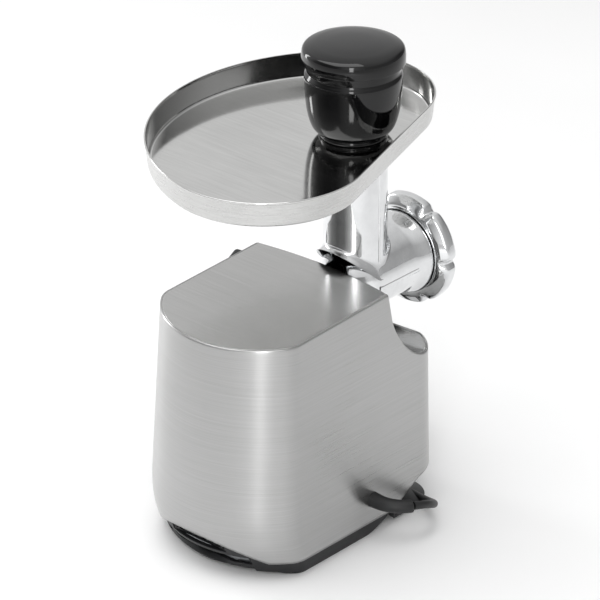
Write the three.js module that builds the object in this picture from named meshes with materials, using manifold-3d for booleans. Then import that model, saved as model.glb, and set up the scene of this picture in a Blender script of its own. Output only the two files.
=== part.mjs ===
// Electric meat grinder, millimetres, +Z up. The grinding head points along -Y and the lead leaves on -X.
import * as THREE from "three";
import { mergeVertices } from "three/addons/utils/BufferGeometryUtils.js";
import Module from "manifold-3d";

const wasm = await Module();
wasm.setup();

// ---- Driving dimensions ----
const gap = 0.3; // between pieces that touch
const sheet = 1.2; // steel skin

// Housing. The plan has straight sides, a large rear arc and round front corners.
const bodyHeight = 216.8; // top panel at its front edge
const bodyHalfWidth = 73.5; // at the top
const bodySideDraft = 6.5; // how far each side leans out over the height
const bodyRear = 155.8; // crest of the rear arc, at the top
const bodyRearDraft = 15; // the rear wall leans out over the height, then tucks in near the floor
const bodyRearTuck = 300;
const tuckStart = 0.72; // share of the height below the top where the tuck begins
const rearArcRadius = 85.8;
const rearCornerRadius = 22;
const noseFront = 67; // how far the nose reaches under the barrel
const noseCornerRadius = 29;
const topFall = 0.039; // slope of the top panel towards the rear
const frontBulge = 7; // forward bow of the top panel's front edge
const scoopFloor = 145.5; // lowest line of the scoop under the barrel
const noseLip = 152.5;
const skirtBottom = 15; // lower edge of the steel skin along the sides
const rearArchTop = 36;
const rearArchHalfWidth = 62;
const baseBottom = 3; // lower edge of the black base along the sides

// Grinding head, on the drive axis.
const axisHeight = 195.9;
const barrelRadius = 32.3;
const boreRadius = 26;
const headRear = -9.6; // rear shoulder of the barrel
const neckRadius = 18; // the barrel narrows to a neck at the rear
const neckFront = -18;
const barrelRear = -36;
const boreRear = -23;
const barrelMouth = -112; // front end of the barrel
const mouthRadius = 36.8; // threaded end
const spigotRadius = 15;
const spigotRear = 18;
const feedTubeY = -41;
const feedTubeRadius = 27;
const feedBoreRadius = 24.4;
const trayFloor = 325; // upper side of the tray's floor
const trayWallHeight = 21;
const trayTurn = THREE.MathUtils.degToRad(18.2); // how the loose tray is turned on the tube

// Gear train, all axes above each other at x = 0.
const outputTeeth = 20;
const secondGearTeeth = 40;
const firstGearTeeth = 40;
const pinionTeeth = 8;
const coarseModule = 1.25;
const fineModule = 1;
const secondAxis = axisHeight - (coarseModule * (outputTeeth + pinionTeeth)) / 2;
const firstAxis = secondAxis - (coarseModule * (secondGearTeeth + pinionTeeth)) / 2;
const motorAxis = firstAxis - (fineModule * (firstGearTeeth + pinionTeeth)) / 2;

// Lead.
const leadRadius = 3.4;
const leadFloor = leadRadius + 0.1;
const coilCentre = [60, -100];
const coilInner = 31.8;
const coilOuter = 46.2;
const coilHeight = 21;
const plugX = coilCentre[0] + 43;

// ---- Materials ----
function material(color, roughness, metalness) {
  return new THREE.MeshStandardMaterial({ color, roughness, metalness, flatShading: true });
}
const brushedSteel = () => material(0xc4c4c2, 0.34, 1);
const polishedAluminium = () => material(0xd9dadb, 0.14, 1);
const castAluminium = () => material(0xa9abac, 0.5, 1);
const plainSteel = () => material(0x9a9c9e, 0.32, 1);
const blackPlastic = () => material(0x16171a, 0.45, 0);
const glossBlack = () => material(0x0a0a0c, 0.12, 0);
const rubber = () => material(0x1a1a1a, 0.8, 0);
const nylon = () => material(0xe6e2d6, 0.5, 0);
const copper = () => material(0xb4683a, 0.35, 1);
const carbon = () => material(0x2b2b2d, 0.6, 0);
const brass = () => material(0xc9a34e, 0.25, 1);

// ---- Geometry helpers ----
const root = new THREE.Group();

// A geometry with shared corners, no empty triangles, and its faces outwards.
function tidy(geometry) {
  geometry.deleteAttribute("normal");
  geometry.deleteAttribute("uv");
  const merged = mergeVertices(geometry, 1e-4);
  const corners = merged.index.array;
  const at = (i) => new THREE.Vector3().fromBufferAttribute(merged.attributes.position, i);
  const kept = [];
  let volume = 0;
  for (let i = 0; i < corners.length; i += 3) {
    const [a, b, c] = corners.slice(i, i + 3);
    if (a === b || b === c || c === a) continue;
    volume += at(a).dot(at(b).cross(at(c)));
    kept.push([a, b, c]);
  }
  merged.setIndex((volume < 0 ? kept.map(([a, b, c]) => [a, c, b]) : kept).flat());
  return merged;
}

function solidOf(geometry) {
  const clean = tidy(geometry);
  const vertProperties = new Float32Array(clean.attributes.position.array);
  const triVerts = new Uint32Array(clean.index.array);
  return new wasm.Manifold(new wasm.Mesh({ numProp: 3, vertProperties, triVerts }));
}

function geometryOf(solid) {
  const { vertProperties, triVerts } = solid.getMesh();
  const geometry = new THREE.BufferGeometry();
  geometry.setAttribute("position", new THREE.BufferAttribute(vertProperties, 3));
  geometry.setIndex(new THREE.BufferAttribute(triVerts, 1));
  return geometry;
}

function add(name, shape, look, parent = root) {
  const geometry = shape instanceof THREE.BufferGeometry ? tidy(shape) : geometryOf(shape);
  geometry.computeVertexNormals();
  const mesh = new THREE.Mesh(geometry, look);
  mesh.name = name;
  parent.add(mesh);
  return mesh;
}

const cut = (body, ...tools) => tools.reduce((left, tool) => left.subtract(tool), body);
const join = (...bodies) => bodies.reduce((sum, body) => sum.add(body));

function polygon(points) {
  return new THREE.Shape(points.map(([x, y]) => new THREE.Vector2(x, y)));
}

function extruded(shape, depth, curveSegments = 8, steps = 1) {
  return new THREE.ExtrudeGeometry(shape, { depth, curveSegments, steps, bevelEnabled: false });
}

// A shape in x and z, running from y = low to high.
function alongY(shape, low, high, curveSegments, steps) {
  return extruded(shape, high - low, curveSegments, steps).rotateX(Math.PI / 2).translate(0, high, 0);
}

// A shape in y and z, running from x = low to high.
function alongX(shape, low, high, curveSegments, steps) {
  const turn = new THREE.Matrix4().makeBasis(
    new THREE.Vector3(0, 1, 0),
    new THREE.Vector3(0, 0, 1),
    new THREE.Vector3(1, 0, 0),
  );
  return extruded(shape, high - low, curveSegments, steps).applyMatrix4(turn).translate(low, 0, 0);
}

function block(size, centre) {
  return new THREE.BoxGeometry(...size).translate(...centre);
}

// A turned piece about +Z, from points of radius and height that start and end on the axis.
function turned(profile, segments = 24) {
  const points = profile.map(([radius, height]) => new THREE.Vector2(radius, height));
  return new THREE.LatheGeometry(points, segments).rotateX(Math.PI / 2);
}

// A ring about +Z between two radii and two heights.
function ring(inner, outer, low, high, segments = 24) {
  const profile = [[inner, low], [outer, low], [outer, high], [inner, high], [inner, low]];
  return turned(profile, segments);
}

function rod(radius, low, high, segments = 20) {
  return turned([[0, low], [radius, low], [radius, high], [0, high]], segments);
}

// Moves a piece made about +Z onto an axis: its +Z becomes +Y or +X, through the point given.
function ontoY(geometry, height, x = 0) {
  return geometry.rotateX(-Math.PI / 2).translate(x, 0, height);
}
function ontoX(geometry, y, height) {
  return geometry.rotateY(Math.PI / 2).translate(0, y, height);
}

function moveVertices(geometry, move) {
  const position = geometry.attributes.position;
  const point = new THREE.Vector3();
  for (let i = 0; i < position.count; i += 1) {
    point.fromBufferAttribute(position, i);
    move(point);
    position.setXYZ(i, point.x, point.y, point.z);
  }
  return geometry;
}

// The corners of a closed path, without the ones that fall on their neighbour.
function cornersOf(path, divisions) {
  const points = path.getPoints(divisions);
  return points.filter((point, i) => point.distanceTo(points[(i + 1) % points.length]) > 1e-4);
}

// A solid through closed outlines of equal length, each a list of points with its own height.
function loft(outlines) {
  const count = outlines[0].length;
  const position = outlines.flat().flatMap((p) => [p.x, p.y, p.z]);
  const index = [];
  for (let layer = 0; layer + 1 < outlines.length; layer += 1) {
    for (let i = 0; i < count; i += 1) {
      const here = layer * count + i;
      const next = layer * count + ((i + 1) % count);
      index.push(here, next, next + count, here, next + count, here + count);
    }
  }
  const last = (outlines.length - 1) * count;
  for (const [a, b, c] of THREE.ShapeUtils.triangulateShape(outlines[0], [])) {
    index.push(a, c, b, last + a, last + b, last + c);
  }
  const geometry = new THREE.BufferGeometry();
  geometry.setAttribute("position", new THREE.Float32BufferAttribute(position, 3));
  geometry.setIndex(index);
  return geometry;
}

// ---- Housing skin ----
// The plan at the top, drawn in from the outer face by an inset.
function bodyPlan(inset) {
  const rearCentre = bodyRear - rearArcRadius;
  const cornerX = bodyHalfWidth - rearCornerRadius;
  const cornerRise = Math.sqrt((rearArcRadius - rearCornerRadius) ** 2 - cornerX ** 2);
  const corner = Math.atan2(cornerRise, cornerX);
  const noseX = bodyHalfWidth - noseCornerRadius;
  const noseY = noseCornerRadius - noseFront;
  const plan = new THREE.Shape();
  plan.absarc(noseX, noseY, noseCornerRadius - inset, -Math.PI / 2, 0);
  plan.absarc(cornerX, rearCentre + cornerRise, rearCornerRadius - inset, 0, corner);
  plan.absarc(0, rearCentre, rearArcRadius - inset, corner, Math.PI - corner);
  plan.absarc(-cornerX, rearCentre + cornerRise, rearCornerRadius - inset, Math.PI - corner, Math.PI);
  plan.absarc(-noseX, noseY, noseCornerRadius - inset, Math.PI, 1.5 * Math.PI);
  return plan;
}

// The walls lean out on the way down: sideways everywhere, and backwards behind the front edge. The rear wall
// curves back in near the floor.
function lean({ x, y }, z) {
  const share = (bodyHeight - z) / bodyHeight;
  const backwards = bodyRearDraft * share - bodyRearTuck * Math.max(0, share - tuckStart) ** 2;
  const sideways = 1 + (bodySideDraft / bodyHalfWidth) * share;
  return new THREE.Vector3(x * sideways, y > 0 ? y * (1 + backwards / bodyRear) : y, z);
}

const tuckHeights = [0, 12, 24, 36, 48, 61];

function bodyBlock(inset, low, high) {
  const plan = cornersOf(bodyPlan(inset), 5);
  const levels = [low, ...tuckHeights.filter((z) => z > low && z < high), high];
  return solidOf(loft(levels.map((z) => plan.map((point) => lean(point, z)))));
}

// The line over the body from behind the rear to ahead of the nose, as points of y and z.
function coverLine() {
  const line = new THREE.Path();
  line.moveTo(190, bodyHeight - topFall * 190);
  line.lineTo(0, bodyHeight);
  line.lineTo(-4, 195);
  line.bezierCurveTo(-6, 178, -26, scoopFloor, -50, scoopFloor);
  line.bezierCurveTo(-57, scoopFloor, -63, noseLip - 4, -68, noseLip);
  return line.getPoints(7);
}

// Bows the front edge forwards and lets the scoop sag in the middle, more the nearer to x = 0.
function bow(point) {
  const middle = Math.max(0, 1 - (point.x / bodyHalfWidth) ** 2);
  const upper = THREE.MathUtils.smoothstep(point.z, scoopFloor + 5, 195);
  const nearFront = 1 - THREE.MathUtils.smoothstep(point.y, 10, 60);
  point.y -= frontBulge * middle * upper * nearFront;
  point.z -= 4 * middle * (1 - upper);
}

// Everything above the body's cover.
function aboveCover() {
  const line = coverLine().map((p) => [p.x, p.y]);
  const shape = polygon([...line, [-140, noseLip + 14], [-140, 330], [190, 330]]);
  return solidOf(moveVertices(alongX(shape, -110, 110, 1, 14), bow));
}

// The cover as a sheet: the line, and the same line moved inwards by the sheet's thickness.
function coverSheet() {
  const outer = coverLine();
  const inner = outer.map((p, i) => {
    const along = outer[Math.min(i + 1, outer.length - 1)].clone().sub(outer[Math.max(i - 1, 0)]).normalize();
    return new THREE.Vector2(p.x - along.y * sheet, p.y + along.x * sheet);
  });
  const shape = new THREE.Shape([...outer, ...inner.reverse()]);
  return solidOf(moveVertices(alongX(shape, -110, 110, 1, 14), bow));
}

// Everything below a lower edge that is level along the sides and sweeps up under the nose.
function belowEdge(level, sweepStart, nose) {
  const edge = new THREE.Path();
  edge.moveTo(190, level);
  edge.lineTo(sweepStart, level);
  edge.bezierCurveTo(sweepStart - 22, level, -20, nose - 3, -62, nose);
  const line = edge.getPoints(8).map((p) => [p.x, p.y]);
  const shape = polygon([...line, [-140, nose + 12], [-140, -30], [190, -30]]);
  return solidOf(alongX(shape, -110, 110));
}

// The arch in the skin's lower edge at the rear, raised for the base's rim behind it.
function rearArch(raise = 0) {
  const spring = skirtBottom + raise;
  const arch = new THREE.Shape();
  arch.moveTo(-rearArchHalfWidth, skirtBottom - 20);
  arch.lineTo(-rearArchHalfWidth, spring);
  arch.quadraticCurveTo(0, 2 * rearArchTop - skirtBottom + raise, rearArchHalfWidth, spring);
  arch.lineTo(rearArchHalfWidth, skirtBottom - 20);
  return solidOf(alongY(arch, 110, 200, 12));
}

const leadExit = { y: 24, z: 36 };
const lockKnob = { y: 8, z: 190 };
const switchKnob = { y: 78, z: 112 };

function housing() {
  const walls = cut(bodyBlock(0, -12, 240), bodyBlock(sheet, -14, 242));
  const wrap = cut(
    walls,
    aboveCover(),
    belowEdge(skirtBottom, 6, 38),
    rearArch(),
    solidOf(ontoX(rod(7.3, -90, -60), leadExit.y, leadExit.z)),
    solidOf(ontoX(rod(5, 60, 90), lockKnob.y, lockKnob.z)),
    solidOf(ontoX(rod(9, 60, 90), switchKnob.y, switchKnob.z)),
  );
  add("side_skin", wrap, brushedSteel());

  const cover = coverSheet().intersect(bodyBlock(sheet + gap, -12, 240));
  const headRoom = [
    [0, 20],
    [spigotRadius + 1, 20],
    [spigotRadius + 1, headRear + gap],
    [neckRadius + 1, headRear + gap],
    [neckRadius + 1, neckFront + 0.6],
    [barrelRadius + 1, barrelRear + 0.6],
    [barrelRadius + 1, -60],
    [0, -60],
  ];
  add("top_cover", cut(cover, solidOf(ontoY(turned(headRoom, 40), axisHeight))), brushedSteel());
}

// ---- Base ----
const footPlaces = [[46, 118], [-46, 118], [46, -22], [-46, -22]];
const footHeight = 6;
const panFloor = 9; // upper side of the base's floor
const baseWall = 3;
const baseInset = 3.6; // outer face of the base below the skin
const rimInset = sheet + gap; // and of its rim inside the skin

function base() {
  const rim = cut(bodyBlock(rimInset, -12, 46), belowEdge(skirtBottom + 1.5, 6, 39.5), rearArch(1.5));
  const skirt = cut(
    join(bodyBlock(baseInset, -12, 45), rim),
    bodyBlock(baseInset + baseWall, panFloor, 60),
    belowEdge(baseBottom, 30, 35),
  );
  const tubRoom = solidOf(block([106, 174.4, 40], [0, 53.2, panFloor + 20]));
  const tubBlock = solidOf(block([112, 180.4, 26], [0, 53.2, 18]));
  const tub = cut(tubBlock.intersect(bodyBlock(baseInset, -12, 45)), tubRoom);
  const underRear = solidOf(block([94, 60, 20], [0, 173.4, 8]));
  const ventOpening = solidOf(block([60, 60, 10], [0, 166, 26]));
  const gland = solidOf(ontoX(rod(9.4, -90, -60), leadExit.y, leadExit.z));
  const holes = footPlaces.map(([x, y]) => solidOf(rod(2.6, -5, 40, 12).translate(x, y, 0)));
  const feetRoom = footPlaces.map(([x, y]) => solidOf(rod(12.2, -20, footHeight, 20).translate(x, y, 0)));
  add("base_pan", cut(join(skirt, tub), underRear, ventOpening, gland, ...holes, ...feetRoom), blackPlastic());

  const slats = [-24, -16, -8, 0, 8, 16, 24].map((x) => solidOf(block([2.4, 3, 9], [x, 149, 26])));
  const frame = cut(solidOf(block([58, 3, 9.4], [0, 149, 26])), solidOf(block([54, 9, 6], [0, 149, 26])));
  add("rear_grille", join(frame, ...slats), blackPlastic());

  footPlaces.forEach(([x, y], i) => {
    const profile = [[2.6, 0], [9.6, 0], [11.6, footHeight - gap], [2.6, footHeight - gap], [2.6, 0]];
    add(`foot_${i + 1}`, turned(profile, 20).translate(x, y, 0), rubber());
    const screw = [[0, 1.6], [2.3, 1.6], [2.3, 15], [0, 15]];
    add(`foot_screw_${i + 1}`, turned(screw, 12).translate(x, y, 0), plainSteel());
  });
}

// ---- Frame, gearbox and motor ----
const gearboxFront = 26;
const gearboxRear = 67;
const stageThree = [33, 45]; // output gear and second pinion
const stageTwo = [48, 56]; // second gear and first pinion
const stageOne = [59, 65]; // first gear and motor pinion

const statorRadius = 39;

// A floor plate held by the foot screws, two uprights for the motor's ends and two cradles for its stator.
function frame() {
  const low = panFloor + gap;
  const plate = solidOf(block([104, 168, 3], [0, 54, low + 1.5]));
  const uprights = [71.9, 138].map((y) => solidOf(block([84, 3.8, 126], [0, y, low + 63])));
  const cradles = [98, 118].map((y) => solidOf(block([60, 4, 84], [0, y, low + 42])));
  const motorRoom = shaftAlongY(statorRadius + gap, 90, 126, motorAxis, 48);
  const endRoom = shaftAlongY(34, 60, 150, motorAxis, 32);
  const holes = footPlaces.map(([x, y]) => solidOf(rod(2.6, -5, 40, 12).translate(x, y, 0)));
  const whole = join(plate, ...uprights, ...cradles).intersect(bodyBlock(8, -12, 240));
  add("chassis", cut(whole, motorRoom, endRoom, ...holes), plainSteel());
}

// A trapezoid-toothed gear outline, with one tooth pointing at the phase angle.
function gearShape(teeth, module, phase) {
  const pitchRadius = (teeth * module) / 2;
  const tip = pitchRadius + 0.75 * module;
  const rootRadius = pitchRadius - 1.1 * module;
  const step = (2 * Math.PI) / teeth;
  const corner = (radius, angle) => [radius * Math.cos(angle), radius * Math.sin(angle)];
  const points = [];
  for (let i = 0; i < teeth; i += 1) {
    const middle = phase + i * step;
    points.push(corner(rootRadius, middle - 0.29 * step));
    points.push(corner(tip, middle - 0.1 * step));
    points.push(corner(tip, middle + 0.1 * step));
    points.push(corner(rootRadius, middle + 0.29 * step));
  }
  return polygon(points);
}

function gear(teeth, module, [low, high], height, phase) {
  return solidOf(alongY(gearShape(teeth, module, phase), low, high).translate(0, 0, height));
}

const shaftAlongY = (radius, low, high, height, segments = 20) =>
  solidOf(ontoY(rod(radius, low, high, segments), height));

function gearTrain() {
  const down = -Math.PI / 2;
  const up = Math.PI / 2;
  const betweenPinionTeeth = up + Math.PI / pinionTeeth;

  const socket = shaftAlongY(9.6, 4, 33, axisHeight, 32);
  const hexHole = solidOf(ontoY(rod(6.3, 0, 24, 6), axisHeight));
  const output = join(gear(outputTeeth, coarseModule, stageThree, axisHeight, down), socket);
  add("output_gear", cut(output, hexHole), plainSteel());

  const secondBore = shaftAlongY(2.6, 20, 80, secondAxis);
  const second = join(
    gear(pinionTeeth, coarseModule, [stageThree[0], stageTwo[0]], secondAxis, betweenPinionTeeth),
    gear(secondGearTeeth, coarseModule, stageTwo, secondAxis, down),
  );
  add("second_gear", cut(second, secondBore), plainSteel());
  add("second_gear_pin", shaftAlongY(2.5, 24, 60, secondAxis), plainSteel());

  const firstBore = shaftAlongY(2.6, 20, 80, firstAxis);
  const first = join(
    gear(pinionTeeth, coarseModule, [stageTwo[0], stageOne[0]], firstAxis, betweenPinionTeeth),
    gear(firstGearTeeth, fineModule, stageOne, firstAxis, down),
  );
  add("first_gear", cut(first, firstBore), nylon());
  add("first_gear_pin", shaftAlongY(2.5, 24, 70, firstAxis), plainSteel());

  const pinion = gear(pinionTeeth, fineModule, stageOne, motorAxis, betweenPinionTeeth);
  add("rotor_shaft", join(shaftAlongY(2.7, 57, 148, motorAxis), pinion), plainSteel());
}

function gearbox() {
  const outline = new THREE.Shape();
  outline.moveTo(-30, 196);
  outline.lineTo(-30, 132);
  outline.absarc(0, motorAxis, 13, 1.15 * Math.PI, 1.85 * Math.PI);
  outline.lineTo(30, 132);
  outline.lineTo(30, 196);
  outline.absarc(14, 196.3, 16, 0, Math.PI / 2);
  outline.absarc(-14, 196.3, 16, Math.PI / 2, Math.PI);
  const inside = new THREE.Shape();
  inside.moveTo(-27.3, 196);
  inside.lineTo(-27.3, 134);
  inside.absarc(0, motorAxis, 10, 1.2 * Math.PI, 1.8 * Math.PI);
  inside.lineTo(27.3, 134);
  inside.lineTo(27.3, 196);
  inside.absarc(14, 196.3, 13.4, 0, Math.PI / 2);
  inside.absarc(-14, 196.3, 13.4, Math.PI / 2, Math.PI);
  const shell = cut(
    solidOf(alongY(outline, gearboxFront, gearboxRear)),
    solidOf(alongY(inside, gearboxFront + 3, gearboxRear + 5)),
    shaftAlongY(12.4, 10, 40, axisHeight, 32),
    shaftAlongY(2.7, 10, 40, secondAxis),
    shaftAlongY(2.7, 10, 40, firstAxis),
  );
  add("gearbox_housing", shell, castAluminium());

  const cover = cut(
    solidOf(alongY(outline, gearboxRear + gap, gearboxRear + 2.6)),
    shaftAlongY(4.4, 60, 80, motorAxis),
    shaftAlongY(2.7, 60, 80, firstAxis),
  );
  add("gearbox_cover", cover, castAluminium());

  add("output_bearing", ontoY(ring(9.8, 12.1, 24, 30), axisHeight), brass());
  add("head_socket", ontoY(ring(spigotRadius + 0.4, spigotRadius + 3.3, -4, 23.6), axisHeight), castAluminium());
}

function motor() {
  const stator = new THREE.Shape();
  stator.absarc(0, 0, statorRadius, Math.PI / 6, (5 * Math.PI) / 6);
  stator.absarc(0, 0, statorRadius, (7 * Math.PI) / 6, (11 * Math.PI) / 6);
  const bore = new THREE.Path();
  bore.absarc(0, 0, 22.2, 0, 2 * Math.PI);
  stator.holes.push(bore);
  const pack = solidOf(alongY(stator, 92, 124).translate(0, 0, motorAxis));
  const coilRooms = [1, -1].map((side) => solidOf(block([9, 60, 30], [side * 27.5, 108, motorAxis])));
  add("stator_pack", cut(pack, ...coilRooms), plainSteel());
  for (const [name, side] of [["field_coil_right", 1], ["field_coil_left", -1]]) {
    add(name, block([8, 36, 29], [side * 27.5, 108, motorAxis]), copper());
  }

  add("armature", ontoY(ring(2.9, 21.4, 90, 126), motorAxis), copper());
  add("commutator", ontoY(ring(2.9, 10.5, 127, 137), motorAxis), copper());
  for (const [name, side] of [["carbon_brush_right", 1], ["carbon_brush_left", -1]]) {
    add(name, block([14, 6, 7], [side * 18, 132, motorAxis]), carbon());
  }

  const blades = [];
  for (let i = 0; i < 9; i += 1) {
    const blade = block([1.8, 6.4, 21], [0, 83.8, 18.5]).rotateY((i * 2 * Math.PI) / 9);
    blades.push(solidOf(blade.translate(0, 0, motorAxis)));
  }
  const disc = solidOf(ontoY(ring(2.9, 30, 79, 81), motorAxis));
  add("cooling_fan", join(disc, solidOf(ontoY(ring(2.9, 9, 79, 87.6), motorAxis)), ...blades), blackPlastic());

  add("front_bearing", ontoY(ring(2.9, 9.5, 70.2, 75), motorAxis), plainSteel());
  add("rear_bearing", ontoY(ring(2.9, 9.5, 141, 146), motorAxis), plainSteel());
  for (const [name, low] of [["front_bracket", 74.1], ["rear_bracket", 140.2]]) {
    const bar = cut(solidOf(block([82, 4, 20], [0, low + 2, motorAxis])), shaftAlongY(9.8, 60, 160, motorAxis));
    add(name, bar, castAluminium());
  }
}

// ---- Controls ----
function controls() {
  const wallAt = (z) => bodyHalfWidth + (bodySideDraft * (bodyHeight - z)) / bodyHeight;

  const lockX = wallAt(lockKnob.z - 16);
  const grip = turned([[0, lockX + 3], [17.5, lockX + 3], [17.5, lockX + 16], [15, lockX + 18], [0, lockX + 18]], 6);
  grip.rotateZ(Math.PI / 2); // one corner up
  const flange = solidOf(ontoX(rod(14, lockX + gap, lockX + 4, 24), lockKnob.y, lockKnob.z));
  add("lock_knob", join(solidOf(ontoX(grip, lockKnob.y, lockKnob.z)), flange), blackPlastic());
  const spindle = [[0, 19.2], [3, 19.2], [4.4, 24], [4.4, lockX - 0.1], [0, lockX - 0.1]];
  add("lock_spindle", ontoX(turned(spindle, 20), lockKnob.y, lockKnob.z), plainSteel());

  const switchX = wallAt(switchKnob.z) + 0.9;
  const dial = [[0, switchX], [19, switchX], [19, switchX + 2], [17, switchX + 12], [0, switchX + 12]];
  const pointer = solidOf(block([8, 7, 32], [switchX + 14, switchKnob.y, switchKnob.z]));
  const knob = join(solidOf(ontoX(turned(dial), switchKnob.y, switchKnob.z)), pointer);
  add("control_knob", knob, blackPlastic());
  const stem = ontoX(rod(3, 66, switchX - gap, 16), switchKnob.y, switchKnob.z);
  add("switch_stem", stem, plainSteel());
  add("switch_body", block([18, 34, 34], [56.4, switchKnob.y, switchKnob.z]), blackPlastic());
}

// ---- Grinding head ----
const plateThickness = 6;
const knifeFront = barrelMouth + 5.6;

function headCasting() {
  const barrelProfile = [
    [0, headRear],
    [neckRadius, headRear],
    [neckRadius, neckFront],
    [barrelRadius, barrelRear],
    [barrelRadius, -90],
    [mouthRadius, -97],
    [mouthRadius, barrelMouth],
    [0, barrelMouth],
  ];
  const barrel = solidOf(ontoY(turned(barrelProfile, 40), axisHeight));
  const spigot = shaftAlongY(spigotRadius, -12, spigotRear, axisHeight, 32);
  const tubeTop = trayFloor - 1.4;
  const tube = solidOf(rod(feedTubeRadius, axisHeight, tubeTop, 36).translate(0, feedTubeY, 0));
  const tubeSeams = solidOf(block([2 * feedTubeRadius + 1.6, 2.4, 106], [0, feedTubeY, tubeTop - 53]));
  const barrelSeams = solidOf(block([2 * barrelRadius + 1.4, 74, 5], [0, -54, axisHeight - 2.5]));
  const boreProfile = [[0, -100.6], [boreRadius, -100.6], [boreRadius, barrelRear], [12.5, boreRear], [0, boreRear]];
  const bore = solidOf(ontoY(turned(boreProfile, 32), axisHeight));
  const mouth = shaftAlongY(31.4, -130, -100, axisHeight, 40);
  const neckBore = shaftAlongY(11.6, boreRear - 2, 40, axisHeight, 32);
  const feedBore = solidOf(rod(feedBoreRadius, axisHeight, 400, 36).translate(0, feedTubeY, 0));
  const casting = cut(join(barrel, spigot, tube, tubeSeams, barrelSeams), bore, mouth, neckBore, feedBore);
  add("head_casting", casting, polishedAluminium());
}

// One helical flight round a core: a section with one wide tooth, twisted on its way forwards.
function auger() {
  const pitch = 24;
  const rear = barrelRear - 1;
  const front = -99.8;
  const flight = new THREE.Shape();
  flight.absarc(0, 0, boreRadius - 1, -Math.PI / 6, Math.PI / 6);
  flight.absarc(0, 0, 9, Math.PI / 6, (11 * Math.PI) / 6);
  const twisted = moveVertices(extruded(flight, rear - front, 4, 32), (point) => {
    const angle = (2 * Math.PI * point.z) / pitch;
    const { x, y } = point;
    point.x = x * Math.cos(angle) - y * Math.sin(angle);
    point.y = x * Math.sin(angle) + y * Math.cos(angle);
  });
  const screw = solidOf(ontoY(twisted, axisHeight).translate(0, front, 0));
  const neck = shaftAlongY(7, rear - 1, 3, axisHeight);
  const tail = solidOf(ontoY(rod(5.9, -1, 20, 6), axisHeight));
  const square = solidOf(block([8, 8.8, 8], [0, -102, axisHeight]));
  const tip = shaftAlongY(3.9, barrelMouth - 0.4, -104, axisHeight);
  add("auger", join(screw, neck, tail, square, tip), castAluminium());
  add("auger_bush", ontoY(ring(7.3, 11.3, -22, 2), axisHeight), nylon());
}

function knifeAndPlate() {
  const arms = [0, 1].map((turn) => {
    const arm = block([57, 5, 11], [0, knifeFront + 2.7, 0]).rotateY((turn * Math.PI) / 2);
    return solidOf(arm.translate(0, 0, axisHeight));
  });
  const hub = shaftAlongY(10, knifeFront + 0.2, knifeFront + 5.2, axisHeight);
  const squareHole = solidOf(block([8.7, 20, 8.7], [0, knifeFront, axisHeight]));
  add("cross_knife", cut(join(...arms, hub), squareHole), plainSteel());

  const plate = new THREE.Shape();
  plate.absarc(0, 0, 31, 0, 2 * Math.PI);
  const holeRings = [[12, 7, 3.2], [24, 14, 3.2]];
  const centreHole = new THREE.Path();
  centreHole.absarc(0, 0, 4.3, 0, 2 * Math.PI);
  plate.holes.push(centreHole);
  for (const [radius, count, holeRadius] of holeRings) {
    for (let i = 0; i < count; i += 1) {
      const angle = (2 * Math.PI * i) / count;
      const hole = new THREE.Path();
      hole.absarc(radius * Math.cos(angle), radius * Math.sin(angle), holeRadius, 0, 2 * Math.PI);
      plate.holes.push(hole);
    }
  }
  const rear = knifeFront - gap;
  add("cutting_plate", alongY(plate, rear - plateThickness, rear, 4).translate(0, 0, axisHeight), plainSteel());
}

function ringNut() {
  const lobes = 6;
  const rear = -100.7;
  const front = -117.4;
  const outline = [];
  const steps = 12 * lobes;
  for (let i = 0; i < steps; i += 1) {
    const angle = (2 * Math.PI * i) / steps;
    const fromNotch = Math.abs((((angle * lobes) / (2 * Math.PI) + 0.5) % 1) - 0.5);
    const radius = 49.4 - 3.8 * Math.exp(-((fromNotch / 0.08) ** 2));
    outline.push([radius * Math.cos(angle), radius * Math.sin(angle)]);
  }
  const body = solidOf(alongY(polygon(outline), front, rear).translate(0, 0, axisHeight));
  const shape = [[0, rear], [41, rear], [52, rear - 6], [52, front + 2], [47, front], [0, front]];
  const envelope = solidOf(ontoY(turned(shape, 42), axisHeight));
  const thread = shaftAlongY(mouthRadius + 0.5, -113.2, -90, axisHeight, 40);
  const opening = shaftAlongY(28.5, -130, -90, axisHeight, 32);
  const seat = shaftAlongY(31.4, -114.2, -110, axisHeight, 32);
  const nut = cut(body.intersect(envelope), thread, opening, seat);
  add("ring_nut", nut, polishedAluminium());
}

// ---- Tray ----
// The tray's plan about the feed tube: one flat side, a wide arc opposite, and two large corners.
function trayOutline(inset, z) {
  const centre = [-14, 43];
  const arc = 168;
  const corner = 83;
  const flatSide = -38.5;
  const cornerX = flatSide + corner;
  const cornerY = Math.sqrt((arc - corner) ** 2 - cornerX ** 2);
  const turn = Math.atan2(cornerY, cornerX);
  const outline = new THREE.Path();
  outline.absarc(0, 0, arc - inset, -turn, turn);
  outline.absarc(cornerX, cornerY, corner - inset, turn, Math.PI);
  outline.absarc(cornerX, -cornerY, corner - inset, Math.PI, 2 * Math.PI - turn);
  return cornersOf(outline, 7).map((p) => new THREE.Vector3(p.x + centre[0], p.y + centre[1], z));
}

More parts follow.
